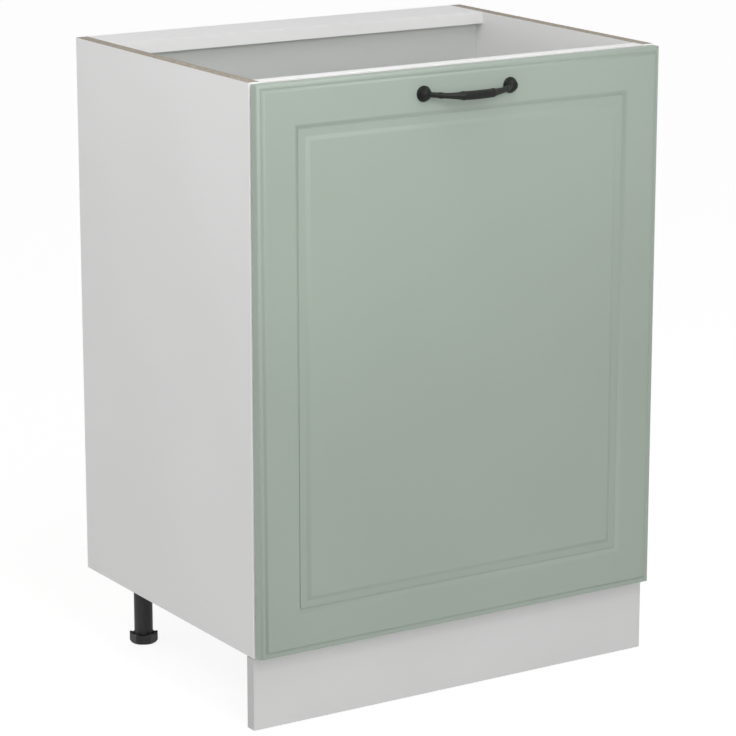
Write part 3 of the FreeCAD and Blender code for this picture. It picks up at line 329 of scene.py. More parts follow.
def melamine(name, raw=(), grey=(), tone=1.0):
    """White melamine; tone paints light or shade on it. Raw past the first planes, a grey edge past the
    others.
    """
    material, shader, place = finish(name)
    drift = spread(material, noise(material, place, 0.24, 1.0), 0.0, 1.0)
    # tone scales the whites: above 1 it is painted light, below 1 painted shade.
    duller, whiter = [tuple(tone * v for v in white) for white in BOARD_WHITES]
    colour = mixed(material, drift, duller, whiter)
    peel = noise(material, place, 0.0012, 2.0)
    gloss = spread(material, peel, 0.36, 0.46)
    height = spread(material, peel, 0.0, 0.05)
    if raw:
        bare = beyond(material, place, raw)
        core, pits = chips(material, place)
        colour = mixed(material, bare, colour, core)
        gloss = blended(material, bare, gloss, 0.85)
        height = blended(material, bare, height, pits)
    if grey:
        edge_paper = mixed(material, drift, *EDGE_GREYS)
        colour = mixed(material, beyond(material, place, grey), colour, edge_paper)
    feed(material, colour, shader.inputs["Base Color"])
    feed(material, gloss, shader.inputs["Roughness"])
    relief(material, shader, height, 0.0003)
    return material


side_low, side_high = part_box("left_side_panel")
rail_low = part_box("front_rail")[0]
shelf_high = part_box("shelf_board")[1]
plinth_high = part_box("plinth_board")[1]
sawn_rear = ("Y", 1, side_high.y - SKIN)
sawn_top = ("Z", 1, side_high.z - SKIN)
sawn_foot = ("Z", -1, side_low.z + SKIN)
sawn_rail = ("Z", -1, rail_low.z + SKIN)
sawn_shelf = [("X", hand, hand * (shelf_high.x - SKIN)) for hand in (1, -1)]
plinth_ends = [("X", hand, hand * (plinth_high.x - SKIN)) for hand in (1, -1)]
side_board = melamine("melamine_side", [sawn_top, sawn_foot, sawn_rear])
bottom_board = melamine("melamine_bottom", [sawn_rear])
# The rails take painted light: their whites are raised by the rail tone.
rail_board_painted_light = melamine("melamine_rail_painted_light", [sawn_rear, sawn_rail], tone=RAIL_PAINTED_LIGHT)
shelf_melamine = melamine("melamine_shelf", [("Y", 1, shelf_high.y - SKIN), *sawn_shelf])
# The plinth takes painted shade: its whites are lowered by the plinth tone.
plinth_melamine_painted_shade = melamine("melamine_plinth_painted_shade", grey=plinth_ends, tone=PLINTH_PAINTED_SHADE)
print("melamine boards:", [m.name for m in bpy.data.materials if m.name.startswith("melamine")])

# %% [markdown]
# The front edges wear a plastic band, glued on and trimmed. It is the whitest thing on the carcass, white
# plastic with a painted highlight along its thin edges, and a touch smoother than the melamine. The back is
# thin hardboard: white lacquer inside, painted pale grey as painted shade inside the carcass, and bare brown
# felted fibre outside. Noise that is longer across the board gives the fibre, and finer noise the felt.

# %% edge band and hardboard
# The band's whites are above the board's: white plastic with a painted highlight along the edges.
BAND_WHITES_PAINTED_HIGHLIGHT = ((0.862, 0.864, 0.858), (0.885, 0.886, 0.882))
# The lacquer is white; its pale grey here is painted shade inside the carcass.
LACQUER_PAINTED_SHADE = ((0.590, 0.608, 0.588), (0.612, 0.630, 0.610))
FIBRE_BROWNS = ((0.20, 0.125, 0.072), (0.34, 0.225, 0.135))
FELT_BROWN = (0.13, 0.08, 0.045)
BARE_DEPTH = 0.0008
band_white, shader, place = finish("edge_band_white")
drift = spread(band_white, noise(band_white, place, 0.15, 1.0), 0.0, 1.0)
white = mixed(band_white, drift, *BAND_WHITES_PAINTED_HIGHLIGHT)
feed(band_white, white, shader.inputs["Base Color"])
pull = noise(band_white, place, 0.0009, 2.0, (1, 1, 0.1))
feed(band_white, spread(band_white, pull, 0.32, 0.42), shader.inputs["Roughness"])
relief(band_white, shader, pull, 0.00001)

hardboard, shader, place = finish("hardboard_back")
# The inside lacquer is painted grey: painted shade inside the carcass.
shaded_lacquer = mixed(hardboard, noise(hardboard, place, 0.2, 1.0), *LACQUER_PAINTED_SHADE)
fibre = noise(hardboard, place, 0.004, 4.0, (0.35, 1, 1))
felt = noise(hardboard, place, 0.0012, 3.0)
brown = mixed(hardboard, spread(hardboard, fibre, 0.0, 1.0), *FIBRE_BROWNS)
brown = mixed(hardboard, spread(hardboard, felt, 0.45, 0.0), brown, FELT_BROWN)
outside = beyond(hardboard, place, [("Y", 1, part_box("back_panel")[1].y - BARE_DEPTH)])
feed(hardboard, mixed(hardboard, outside, shaded_lacquer, brown), shader.inputs["Base Color"])
feed(hardboard, blended(hardboard, outside, 0.4, 0.8), shader.inputs["Roughness"])
relief(hardboard, shader, blended(hardboard, outside, 0.5, felt), 0.00015)
print("band and back:", band_white.name, hardboard.name)

# %% [markdown]
# The door is board milled to a frame and panel and wrapped in a matt sage film, with a plain white back.
# The film hides the board's grain and keeps a fine, even tooth, so the colour hardly changes and the
# gloss is wide and soft. The film ends at the back edge, and a mask by place puts the white there.

# %% sage film
SAGE_TONES = ((0.353, 0.412, 0.358), (0.371, 0.433, 0.375))
SAGE_PITS = (0.297, 0.351, 0.303)
BACK_WHITE = (0.77, 0.77, 0.765)
FILM_END = 0.00025
door_low, door_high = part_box("door_panel")
sage, shader, place = finish("sage_film")
drift = spread(sage, noise(sage, place, 0.3, 1.0), 0.0, 1.0)
tooth = noise(sage, place, 0.0008, 3.0)
film = mixed(sage, drift, *SAGE_TONES)
film = mixed(sage, spread(sage, tooth, 0.0, 0.10), film, SAGE_PITS)
behind = beyond(sage, place, [("Y", 1, door_high.y - FILM_END)])
feed(sage, mixed(sage, behind, film, BACK_WHITE), shader.inputs["Base Color"])
feed(sage, spread(sage, tooth, 0.47, 0.57), shader.inputs["Roughness"])
relief(sage, shader, tooth, 0.000015)
print("front:", sage.name)

# %% [markdown]
# The handle is a casting with a black powder coat: nearly black, half matt, with the fine orange peel
# that the powder leaves as it melts. The legs are moulded black plastic, which comes out of a sparked
# mould with a grain.

# %% black metal and black plastic
POWDER_BLACKS = ((0.0060, 0.0072, 0.0060), (0.0100, 0.0118, 0.0100))
MOULDED_BLACKS = ((0.018, 0.018, 0.0185), (0.027, 0.027, 0.0275))
powder_black, shader, place = finish("powder_coat_black", roughness=0.42, specular=0.22)
peel = noise(powder_black, place, 0.0007, 2.0)
worn = noise(powder_black, place, 0.012, 3.0)
worn = spread(powder_black, worn, 0.0, 1.0)
coat = mixed(powder_black, worn, *POWDER_BLACKS)
feed(powder_black, coat, shader.inputs["Base Color"])
feed(powder_black, spread(powder_black, peel, 0.36, 0.50), shader.inputs["Roughness"])
relief(powder_black, shader, peel, 0.00003)

plastic_black, shader, place = finish("moulded_black", roughness=0.5, specular=0.33)
grain = noise(plastic_black, place, 0.0006, 2.0)
flow = noise(plastic_black, place, 0.03, 2.0, (1, 1, 0.3))
flow = spread(plastic_black, flow, 0.0, 1.0)
moulded = mixed(plastic_black, flow, *MOULDED_BLACKS)
feed(plastic_black, moulded, shader.inputs["Base Color"])
feed(plastic_black, spread(plastic_black, grain, 0.42, 0.60), shader.inputs["Roughness"])
relief(plastic_black, shader, grain, 0.00004)
print("blacks:", powder_black.name, plastic_black.name)

# %% [markdown]
# Three metals: bright nickel on the pressed hinges, with faint drawn lines; zinc on the screws, bluer,
# with the slight rainbow of its passivation; and the greyer, cloudy zinc of the cast cams and the turned
# pins.

# %% metals


def metal(name, dull, bright, smooth, rough, size, stretch=(1, 1, 1)):
    """A plated metal whose tone and gloss follow the same streaks."""
    material, shader, place = finish(name, roughness=rough, metallic=1.0)
    streak = spread(material, noise(material, place, size, 3.0, stretch), 0.0, 1.0)
    feed(material, mixed(material, streak, dull, bright), shader.inputs["Base Color"])
    feed(material, blended(material, streak, rough, smooth), shader.inputs["Roughness"])
    relief(material, shader, streak, 0.000008)
    return material


nickel = metal("nickel_hinge", dull=(0.60, 0.59, 0.57), bright=(0.74, 0.73, 0.71),
               smooth=0.20, rough=0.32, size=0.0012, stretch=(1, 0.12, 1))
zinc_blue = metal("zinc_screw", dull=(0.58, 0.60, 0.64), bright=(0.74, 0.74, 0.71),
                  smooth=0.24, rough=0.38, size=0.0018)
zinc_cast = metal("zinc_cast", dull=(0.40, 0.40, 0.41), bright=(0.54, 0.54, 0.55),
                  smooth=0.38, rough=0.55, size=0.0022)
print("metals:", nickel.name, zinc_blue.name, zinc_cast.name)

# %% [markdown]
# The small rest: beech dowels with short dark flecks along the grain, milky nylon clips that let a
# little light into the plastic, and clear soft buffers.

# %% beech, nylon and buffers
BEECH_BROWNS = ((0.58, 0.42, 0.26), (0.36, 0.22, 0.12))
NYLON_WHITES = ((0.66, 0.67, 0.65), (0.74, 0.75, 0.73))
CLEAR_TONES = ((0.82, 0.84, 0.84), (0.90, 0.91, 0.91))
LIGHT_DEPTH = 0.004
beech, shader, place = finish("beech_dowel", roughness=0.6)
fleck = noise(beech, place, 0.0007, 2.0, (0.15, 1, 1))
flecks = spread(beech, fleck, 0.0, 1.0, 0.45, 0.7)
feed(beech, mixed(beech, flecks, *BEECH_BROWNS), shader.inputs["Base Color"])
relief(beech, shader, fleck, 0.00005)

nylon, shader, place = finish("milky_nylon", roughness=0.36)
shader.inputs["Subsurface Weight"].default_value = 0.25
shader.inputs["Subsurface Radius"].default_value = (LIGHT_DEPTH,) * 3
cloud = spread(nylon, noise(nylon, place, 0.006, 2.0), 0.0, 1.0)
feed(nylon, mixed(nylon, cloud, *NYLON_WHITES), shader.inputs["Base Color"])
feed(nylon, blended(nylon, cloud, 0.42, 0.30), shader.inputs["Roughness"])

soft_clear, shader, place = finish("clear_buffer", roughness=0.2)
shader.inputs["Transmission Weight"].default_value = 0.6
shader.inputs["IOR"].default_value = 1.49
haze = spread(soft_clear, noise(soft_clear, place, 0.0015, 2.0), 0.0, 1.0)
feed(soft_clear, mixed(soft_clear, haze, *CLEAR_TONES), shader.inputs["Base Color"])
feed(soft_clear, blended(soft_clear, haze, 0.16, 0.28), shader.inputs["Roughness"])
print("small parts:", beech.name, nylon.name, soft_clear.name)

# %% [markdown]
# Each node of the imported model now takes its finish. Most follow their material slot. The boards differ
# in which edges are raw, and the rails take painted light and the plinth painted shade, so they are named
# one by one.

# %% dress the nodes
FINISHES = {
    "white_edge_band": band_white, "white_hardboard": hardboard, "green_front": sage,
    "black_metal": powder_black, "black_plastic": plastic_black, "clear_plastic": nylon,
    "hinge_steel": nickel, "screw_steel": zinc_blue, "zinc_fittings": zinc_cast,
    "beech": beech, "buffer_plastic": soft_clear,
}
BOARDS = {
    "left_side_panel": side_board, "right_side_panel": side_board, "bottom_panel": bottom_board,
    "rear_rail": rail_board_painted_light, "front_rail": rail_board_painted_light, "shelf_board": shelf_melamine,
    "plinth_board": plinth_melamine_painted_shade,
}
slot_of = {part["node"]: part["material_slot"] for part in frame["record"]["subparts"]}
bodies = frame["record"]["behaviour"]["bodies"]
body_of = {node: body for body, members in bodies.items() for node in members}
finish_of = {name: BOARDS.get(name) or FINISHES[slot_of[name]] for name in nodes}
for name, node in nodes.items():
    node.data.materials.clear()
    node.data.materials.append(finish_of[name])
print("dressed:", len(finish_of), "nodes")

# %% [markdown]
# A sawn board or a pressed hinge never has a razor edge: the saw, the trimmer or the die leaves a small
# ease that catches the light. A node's own shape stays as it is, so each of these pieces is a copy.
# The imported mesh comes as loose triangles, so the copy is merged, its flat faces are joined again, and
# then the sharp edges are bevelled.

# %% helpers for pieces


def mesh_copy(node_name):
    """A node's mesh as a bmesh, merged, with flat triangles joined into whole faces."""
    shape = bmesh.new()
    shape.from_mesh(nodes[node_name].data)
    bmesh.ops.remove_doubles(shape, verts=shape.verts, dist=2e-6)
    bmesh.ops.dissolve_limit(shape, angle_limit=math.radians(1), verts=shape.verts, edges=shape.edges)
    return shape


def sharp_edges(shape, degrees, keep=lambda middle: True):
    """Edges that turn by more than an angle and whose middle passes a test."""
    found = []
    for edge in shape.edges:
        middle = (edge.verts[0].co + edge.verts[1].co) / 2
        if len(edge.link_faces) == 2 and edge.calc_face_angle(0.0) > math.radians(degrees) and keep(middle):
            found.append(edge)
    return found


def ease(shape, edges, width, segments=2):
    """Rounds edges off by a width."""
    bmesh.ops.bevel(shape, geom=edges, offset=width, offset_type="OFFSET", affect="EDGES", segments=segments,
                    profile=0.5, material=-1, clamp_overlap=False)


def as_piece(shape, name, material, body, stands_for, sharp=40, turn_out=True):
    """Turns a finished bmesh into an object that rides on a body and stands for some nodes."""
    if turn_out:
        bmesh.ops.recalc_face_normals(shape, faces=shape.faces)
    mesh = bpy.data.meshes.new(name)
    shape.to_mesh(mesh)
    shape.free()
    mesh.materials.append(material)
    mesh.shade_smooth()
    mesh.set_sharp_from_angle(angle=math.radians(sharp))
    piece = bpy.data.objects.new(name, mesh)
    scene.collection.objects.link(piece)
    even = piece.modifiers.new("even_normals", "WEIGHTED_NORMAL")
    even.keep_sharp = True
    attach(piece, body)
    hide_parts(*stands_for)


def middle_of(node_name):
    """The middle of a node's box."""
    low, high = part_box(node_name)
    return (low + high) / 2


def open_edges(shape):
    """Edges with a face on one side only."""
    return [edge for edge in shape.edges if edge.is_boundary]


def verts_of(made):
    """The vertices among the things that an operator made."""
    return [item for item in made if isinstance(item, bmesh.types.BMVert)]


def edges_among(made, verts):
    """The edges among the things that an operator made that run between some vertices."""
    edges = [item for item in made if isinstance(item, bmesh.types.BMEdge)]
    return [edge for edge in edges if all(vert in verts for vert in edge.verts)]


# %% [markdown]
# Boards are eased at their square corners only. Pressed hinges are eased by nearly as much at every
# corner, and moulded sockets, tubes and clips are rounder. The pins of the hinges turn in their holes
# and stay plain.

# %% eased boards and fittings
SQUARE_ANGLE = 60
BENT_ANGLE = 40
BOARD_EASE = (0.00025, SQUARE_ANGLE)
HINGE_EASE = (0.00022, BENT_ANGLE)
MOULDED_EASE = (0.0006, BENT_ANGLE)
EASED = {}
for name in BOARDS:
    EASED[name] = BOARD_EASE
for name in nodes:
    if slot_of[name] == "hinge_steel" and name not in ("hinge_arm_pins", "hinge_cup_pins"):
        EASED[name] = HINGE_EASE
    if name.endswith(("_plinth_clip", "_leg_socket", "_leg_tube")):
        EASED[name] = MOULDED_EASE
for name, (width, angle) in EASED.items():
    shape = mesh_copy(name)
    ease(shape, sharp_edges(shape, angle), width)
    as_piece(shape, name + "_eased", finish_of[name], body_of[name], [name])
print("eased:", len(EASED))

# %% [markdown]
# A trimmer rounds the outer edges of a glued band and leaves its inner edges flush with the board. Which
# way a band faces is named for each: forwards on most boards, and up on the front rail.

# %% rounded edge bands
CLOSE = 1e-4
BAND_EASE = 0.0006
BAND_FRONTS = {
    "left_edge_band": ("y", -1), "right_edge_band": ("y", -1), "bottom_edge_band": ("y", -1),
    "shelf_edge_band": ("y", -1), "front_rail_edge_band": ("z", 1),
}
for name, (axis, sign) in BAND_FRONTS.items():
    low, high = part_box(name)
    index = "xyz".index(axis)
    face = (high if sign > 0 else low)[index]
    shape = mesh_copy(name)
    outer = sharp_edges(shape, SQUARE_ANGLE, lambda middle: abs(middle[index] - face) < CLOSE)
    ease(shape, outer, BAND_EASE, segments=3)
    as_piece(shape, name + "_rounded", band_white, body_of[name], [name])
print("rounded bands:", len(BAND_FRONTS))

# %% [markdown]
# The film on the door is drawn down over the milled board by vacuum, so it bridges every corner with a
# soft radius. The router leaves, from the edge inwards, a round edge, a shallow quirk beside it, the
# flat frame, a soft valley with a small step up to its flat floor, and a slope up to the raised panel.
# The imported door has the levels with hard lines. On a copy the whole face is taken off, with the walls
# that stand on it, and its outline is filled with one face. That face is then inset again and again,
# each time by a little more of the milled profile, so the corners mitre by themselves. The profile is in
# millimetres: distance from the edge, and depth.

# %% wrapped door
UPRIGHT = 0.02
BACK_EASE = 0.0004
MILLED = (
    (0.00, 6.00), (0.12, 5.05), (0.46, 4.12), (1.05, 3.22), (1.85, 2.45), (2.85, 1.86), (4.00, 1.60),
    (4.80, 1.72), (5.60, 2.20), (6.40, 2.85), (7.00, 3.10), (7.60, 2.78), (8.30, 1.85), (9.00, 0.92),
    (9.70, 0.30), (10.50, 0.00), (50.40, 0.00), (51.20, 0.12), (52.00, 0.42), (52.80, 0.92), (53.60, 1.60),
    (54.40, 2.40), (55.20, 3.20), (56.00, 3.85), (56.70, 4.20), (57.30, 4.32), (57.50, 4.30), (57.55, 3.42),
    (57.80, 3.40), (66.60, 3.40), (67.10, 3.20), (68.00, 2.70), (69.00, 2.05), (70.00, 1.38), (71.00, 0.75),
    (72.00, 0.28), (73.00, 0.06), (74.00, 0.00),
)
shape = mesh_copy("door_panel")
rim_start = door_low.y + MILLED[0][1] / 1000


def front_of(item):
    """How far forwards a face or an edge reaches."""
    return min(vert.co.y for vert in item.verts)


def back_of(item):
    """How far back a face or an edge reaches."""
    return max(vert.co.y for vert in item.verts)


def on_back_rim(middle):
    """Whether a place lies on the outer edge of the door's back."""
    beside = abs(middle.x) > door_high.x - CLOSE
    between = door_low.z + CLOSE < middle.z < door_high.z - CLOSE
    return middle.y > door_high.y - CLOSE and (beside or not between)


face_end = rim_start + CLOSE / 10
facing = [f for f in shape.faces if f.normal.y < -UPRIGHT and f.calc_center_median().y < face_end]
upright = [f for f in shape.faces if abs(f.normal.y) < UPRIGHT]
walls = [f for f in upright if front_of(f) < door_low.y + CLOSE or back_of(f) < rim_start - CLOSE]
bmesh.ops.delete(shape, geom=facing + walls, context="FACES")
outline = [edge for edge in open_edges(shape) if back_of(edge) < rim_start + 2 * CLOSE]
holes = [edge for edge in open_edges(shape) if front_of(edge) > rim_start + 2 * CLOSE]
print("outline edges:", len(outline), "screw hole edges:", len(holes))
bmesh.ops.holes_fill(shape, edges=holes, sides=0)
front = bmesh.ops.contextual_create(shape, geom=outline)["faces"][0]
front.normal_update()
if front.normal.y > 0:
    front.normal_flip()
for (inset, depth), (next_inset, next_depth) in zip(MILLED, MILLED[1:]):
    bmesh.ops.inset_region(shape, faces=[front], thickness=(next_inset - inset) / 1000,
                           depth=(depth - next_depth) / 1000, use_even_offset=True, use_boundary=True)
print("door face at", round(front.calc_center_median().y, 4), "of", round(door_low.y, 4))
ease(shape, sharp_edges(shape, SQUARE_ANGLE, on_back_rim), BACK_EASE)
as_piece(shape, "door_wrapped", sage, "door", ["door_panel"], sharp=50)

# %% [markdown]
# The handle is a bow between two rosettes. Each rosette is turned, so its outline is spun about its own
# axis. The grip is drawn out: a ring is extruded station by station along the bow, and each new ring is
# scaled to the grip's thickness there and moved on. It is full in the middle, with a shoulder at each
# end of the full part, and a small collar sits on each thin neck.

# %% handle
HANDLE_HALF = 0.064
HANDLE_Z = 0.785
DOOR_FACE = door_low.y
GRIP_HALF = HANDLE_HALF - 0.002
GRIP_ROOT = 0.008
GRIP_BOW = 0.0182
GRIP_DROOP = 0.003
BOW_POWER = 2.4
NECK_RADIUS = 0.0033
FULL_RADIUS = 0.0056
FULL_HALF = 0.46
FULL_POWER = 5
COLLAR = 0.0007
COLLAR_PLACE = 0.79
COLLAR_WIDTH = 0.035
SHOULDER = 0.0006
SHOULDER_PLACE = 0.36
SHOULDER_WIDTH = 0.045
GRIP_SIDES = 28
STATIONS = 72
ROSETTE_SIDES = 40
ROSETTE = ((0.0, 0.0), (0.0100, 0.0), (0.0100, 0.0017), (0.0096, 0.0023), (0.0088, 0.0026), (0.0086, 0.0032),
           (0.0083, 0.0048), (0.0076, 0.0067), (0.0066, 0.0085), (0.0054, 0.0099), (0.0040, 0.0107),
           (0.0020, 0.0110), (0.0, 0.0110))


def grip_point(share):
    """The middle of the grip at a share of its half length, from -1 to 1."""
    rise = 1 - abs(share) ** BOW_POWER
    out = GRIP_ROOT + GRIP_BOW * rise
    return Vector((share * GRIP_HALF, DOOR_FACE - out, HANDLE_Z - GRIP_DROOP * rise))


def swell(share, place, width):
    """A round swelling at a place on both halves of the grip."""
    return math.exp(-((abs(share) - place) / width) ** 2)


def grip_radius(share):
    """The grip's radius there: full in the middle, thin at the necks, with a collar on each neck."""
    full = 1 / (1 + (abs(share) / FULL_HALF) ** FULL_POWER)
    collar = COLLAR * swell(share, COLLAR_PLACE, COLLAR_WIDTH)
    shoulder = SHOULDER * swell(share, SHOULDER_PLACE, SHOULDER_WIDTH)
    return NECK_RADIUS + (FULL_RADIUS - NECK_RADIUS) * full + collar + shoulder


shape = bmesh.new()
ring = bmesh.ops.create_circle(shape, segments=GRIP_SIDES, radius=grip_radius(-1))["verts"]
bmesh.ops.rotate(shape, verts=ring, cent=(0, 0, 0), matrix=Matrix.Rotation(math.radians(90), 3, "Y"))
bmesh.ops.translate(shape, verts=ring, vec=grip_point(-1))
edges = list(shape.edges)
for station in range(1, STATIONS + 1):
    before = 2 * (station - 1) / STATIONS - 1
    here = 2 * station / STATIONS - 1
    made = bmesh.ops.extrude_edge_only(shape, edges=edges)["geom"]
    ring = verts_of(made)
    edges = edges_among(made, ring)
    grow = grip_radius(here) / grip_radius(before)
    bmesh.ops.scale(shape, vec=(1, grow, grow), verts=ring, space=Matrix.Translation(-grip_point(before)))
    bmesh.ops.translate(shape, verts=ring, vec=grip_point(here) - grip_point(before))
bmesh.ops.holes_fill(shape, edges=open_edges(shape), sides=0)

for hand in (-1, 1):
    axis_x = hand * HANDLE_HALF
    outline = [shape.verts.new((axis_x + radius, DOOR_FACE - out, HANDLE_Z)) for radius, out in ROSETTE]
    line = [shape.edges.new(pair) for pair in zip(outline, outline[1:])]
    bmesh.ops.spin(shape, geom=outline + line, cent=(axis_x, 0, HANDLE_Z), axis=(0, 1, 0),
                   angle=math.radians(360), steps=ROSETTE_SIDES, use_merge=True)
bmesh.ops.remove_doubles(shape, verts=shape.verts, dist=1e-6)
as_piece(shape, "bow_handle", powder_black, "door", ["handle"], sharp=50)
print("handle reach:", round((DOOR_FACE - grip_point(0).y + FULL_RADIUS) * 1000, 1), "mm")

# %% [markdown]
# Each foot is screwed up or down by hand, so its stem is a coarse thread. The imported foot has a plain
# stem. On a copy the stem is pulled in to the thread's root, and a small blunt wedge is swept up round
# it: a spin with a step along its axis draws the helix. The six-sided skirt is eased as a moulding is,
# above its sole. The copy's faces already point outwards, so only the new thread's faces are turned.

# %% feet
STEM = 0.008
ROOT = 0.0070
SKIRT_INNER = 0.011
SKIRT_EASE = 0.0007
SKIRT_ANGLE = 25
SOLE = 0.0004
THREAD_LOW = 0.0105
THREAD_PITCH = 0.0032
THREAD_TURNS = 17
THREAD_SIDES = 24
THREAD_FOOT = ROOT - 0.0002
THREAD_TOP = STEM - 0.0001
WEDGE = ((THREAD_FOOT, -0.0011), (THREAD_TOP, -0.0002), (THREAD_TOP, 0.0002), (THREAD_FOOT, 0.0011))
for name in [n for n in nodes if n.endswith("_foot")]:
    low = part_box(name)[0]
    axis = middle_of(name) * Vector((1, 1, 0))
    shape = mesh_copy(name)
    stem = [v for v in shape.verts if abs((v.co.xy - axis.xy).length - STEM) < 2 * CLOSE]
    bmesh.ops.scale(shape, vec=(ROOT / STEM, ROOT / STEM, 1), verts=stem, space=Matrix.Translation(-axis))
    skirt = sharp_edges(shape, SKIRT_ANGLE, lambda middle: (middle.xy - axis.xy).length > SKIRT_INNER
                        and middle.z > low.z + SOLE)
    ease(shape, skirt, SKIRT_EASE)
    own_faces = set(shape.faces)
    wedge = [shape.verts.new(axis + Vector((radius, 0, THREAD_LOW + rise))) for radius, rise in WEDGE]
    loop = [shape.edges.new(pair) for pair in zip(wedge, wedge[1:] + wedge[:1])]
    bmesh.ops.spin(shape, geom=wedge + loop, cent=axis, axis=(0, 0, 1),
                   dvec=(0, 0, THREAD_PITCH / THREAD_SIDES),
                   angle=math.radians(360) * THREAD_TURNS, steps=THREAD_SIDES * THREAD_TURNS)
    bmesh.ops.holes_fill(shape, edges=open_edges(shape), sides=4)
    bmesh.ops.recalc_face_normals(shape, faces=[face for face in shape.faces if face not in own_faces])
    as_piece(shape, name + "_threaded", plastic_black, body_of[name], [name],
             turn_out=False)
print("thread:", THREAD_TURNS, "turns")

# %% [markdown]
# Screws: a cross recess cannot be turned on a lathe, so the head starts from a small grid of nine
# squares. The five squares of a plus are pushed down to make the recess, the grid's outline is joined to
# a ring, and the ring is extruded outwards and down for the head, then along the shank in and out for
# the thread. One screw of each kind is made once and set in every place, each turned a little
# differently, as a driver leaves them.

# %% screw helpers
RING_SIDES = 12
RECESS_TAPER = 0.72
FIRST_TURN = 17
NEXT_TURN = 37
SEAT_EASE = 0.0001
# Shares of the head's radius or height:
FLAT_SHARE = 0.74
RECESS_SHARES = (0.50, 0.11, 0.75)
ROUND_SHARES = (0.92, 0.80)
SIDE_SHARE = 0.45
SEAT_SHARE = 0.97
# Shares of the shank's radius or length:
CORE_SHARE = 0.72
CREST_SHARE = 0.99
POINT_SHARE = 0.12
THREADED_SHARE = 0.9
# Shares of the pitch:
FIRST_ROOT = 0.4
ROOT_TO_CREST = 0.35
ROOT_TO_ROOT = 0.6
# Head radius and height, shank radius and length, and pitch:
SCREW_SIZES = {
    "hinge_cup_screws": (0.0035, 0.0014, 0.00175, 0.0102, 0.0016),
    "hinge_plate_screws": (0.0045, 0.0025, 0.0025, 0.016, 0.0022),
    "hinge_clamp_screws": (0.0040, 0.0025, 0.0024, 0.0102, 0.0009),
    "handle_screws": (0.0040, 0.0024, 0.0020, 0.023, 0.0010),
    "leg_screws": (0.0040, 0.0020, 0.0020, 0.017, 0.0018),
    "plinth_clip_screws": (0.0035, 0.0015, 0.00175, 0.015, 0.0016),
}


def next_ring(shape, edges, old, new):
    """Extrudes a ring of edges to a new (radius, height) and gives the new ring."""
    made = bmesh.ops.extrude_edge_only(shape, edges=edges)["geom"]
    verts = verts_of(made)
    bmesh.ops.scale(shape, vec=(new[0] / old[0], new[0] / old[0], 1), verts=verts)
    bmesh.ops.translate(shape, vec=(0, 0, new[1] - old[1]), verts=verts)
    return edges_among(made, verts)


def turn_of(vert):
    """The angle of a vertex about Z."""
    return math.atan2(vert.co.y, vert.co.x)


def cross_top(shape, arm, width, depth, height, radius):
    """A flat top with a cross recess, out to a ring of edges; gives that ring."""
    bmesh.ops.create_grid(shape, x_segments=3, y_segments=3, size=arm)
    for vert in shape.verts:
        for i in (0, 1):
            if abs(vert.co[i]) < arm / 2:
                vert.co[i] = math.copysign(width, vert.co[i])
    rim = {vert for edge in open_edges(shape) for vert in edge.verts}
    plus = [f for f in shape.faces if min(abs(v) for v in f.calc_center_median().xy) < width / 2]
    recess = verts_of(bmesh.ops.extrude_face_region(shape, geom=plus)["geom"])
    bmesh.ops.delete(shape, geom=plus, context="FACES")
    bmesh.ops.scale(shape, vec=(RECESS_TAPER, RECESS_TAPER, 1), verts=recess)
    bmesh.ops.translate(shape, vec=(0, 0, -depth), verts=recess)
    ring_verts = bmesh.ops.create_circle(shape, segments=RING_SIDES, radius=radius)["verts"]
    half_side = Matrix.Rotation(math.radians(180 / RING_SIDES), 3, "Z")
    bmesh.ops.rotate(shape, verts=ring_verts, cent=(0, 0, 0), matrix=half_side)
    ring = [edge for edge in shape.edges if edge.is_wire]
    inner = sorted(rim, key=turn_of)
    outer = sorted(ring_verts, key=turn_of)
    for i in range(RING_SIDES):
        shape.faces.new((inner[i - 1], outer[i - 1], outer[i], inner[i]))
    bmesh.ops.translate(shape, vec=(0, 0, height), verts=shape.verts)
    return ring


def drawn(shape, ring, here, outline, name):
    """Extrudes a ring through an outline of (radius, height) places, closes it and gives the mesh."""
    for place in outline:
        ring = next_ring(shape, ring, here, place)
        here = place
    bmesh.ops.holes_fill(shape, edges=open_edges(shape), sides=0)
    bmesh.ops.remove_doubles(shape, verts=shape.verts, dist=1e-7)
    bmesh.ops.recalc_face_normals(shape, faces=shape.faces)
    mesh = bpy.data.meshes.new(name)
    shape.to_mesh(mesh)
    shape.free()
    return mesh


def one_screw(head_radius, head_height, shank_radius, shank_length, pitch):
    """One screw along Z: its seat at 0, its head above and its threaded shank below."""
    flat = head_radius * FLAT_SHARE
    core = shank_radius * CORE_SHARE
    crest = shank_radius * CREST_SHARE
    arm, width, depth = RECESS_SHARES
    round_radius, round_height = ROUND_SHARES
    shape = bmesh.new()
    ring = cross_top(shape, head_radius * arm, head_radius * width, head_height * depth, head_height, flat)
    outline = [(head_radius * round_radius, head_height * round_height),
               (head_radius, head_height * SIDE_SHARE), (head_radius, SEAT_EASE),
               (head_radius * SEAT_SHARE, 0.0), (core, 0.0)]
    for turn in range(int(shank_length * THREADED_SHARE / pitch)):
        top = -pitch * (turn + FIRST_ROOT)
        outline += [(core, top), (crest, top - pitch * ROOT_TO_CREST), (core, top - pitch * ROOT_TO_ROOT)]
    outline.append((shank_radius * POINT_SHARE, -shank_length))
    return drawn(shape, ring, (flat, head_height), outline, "one_screw")


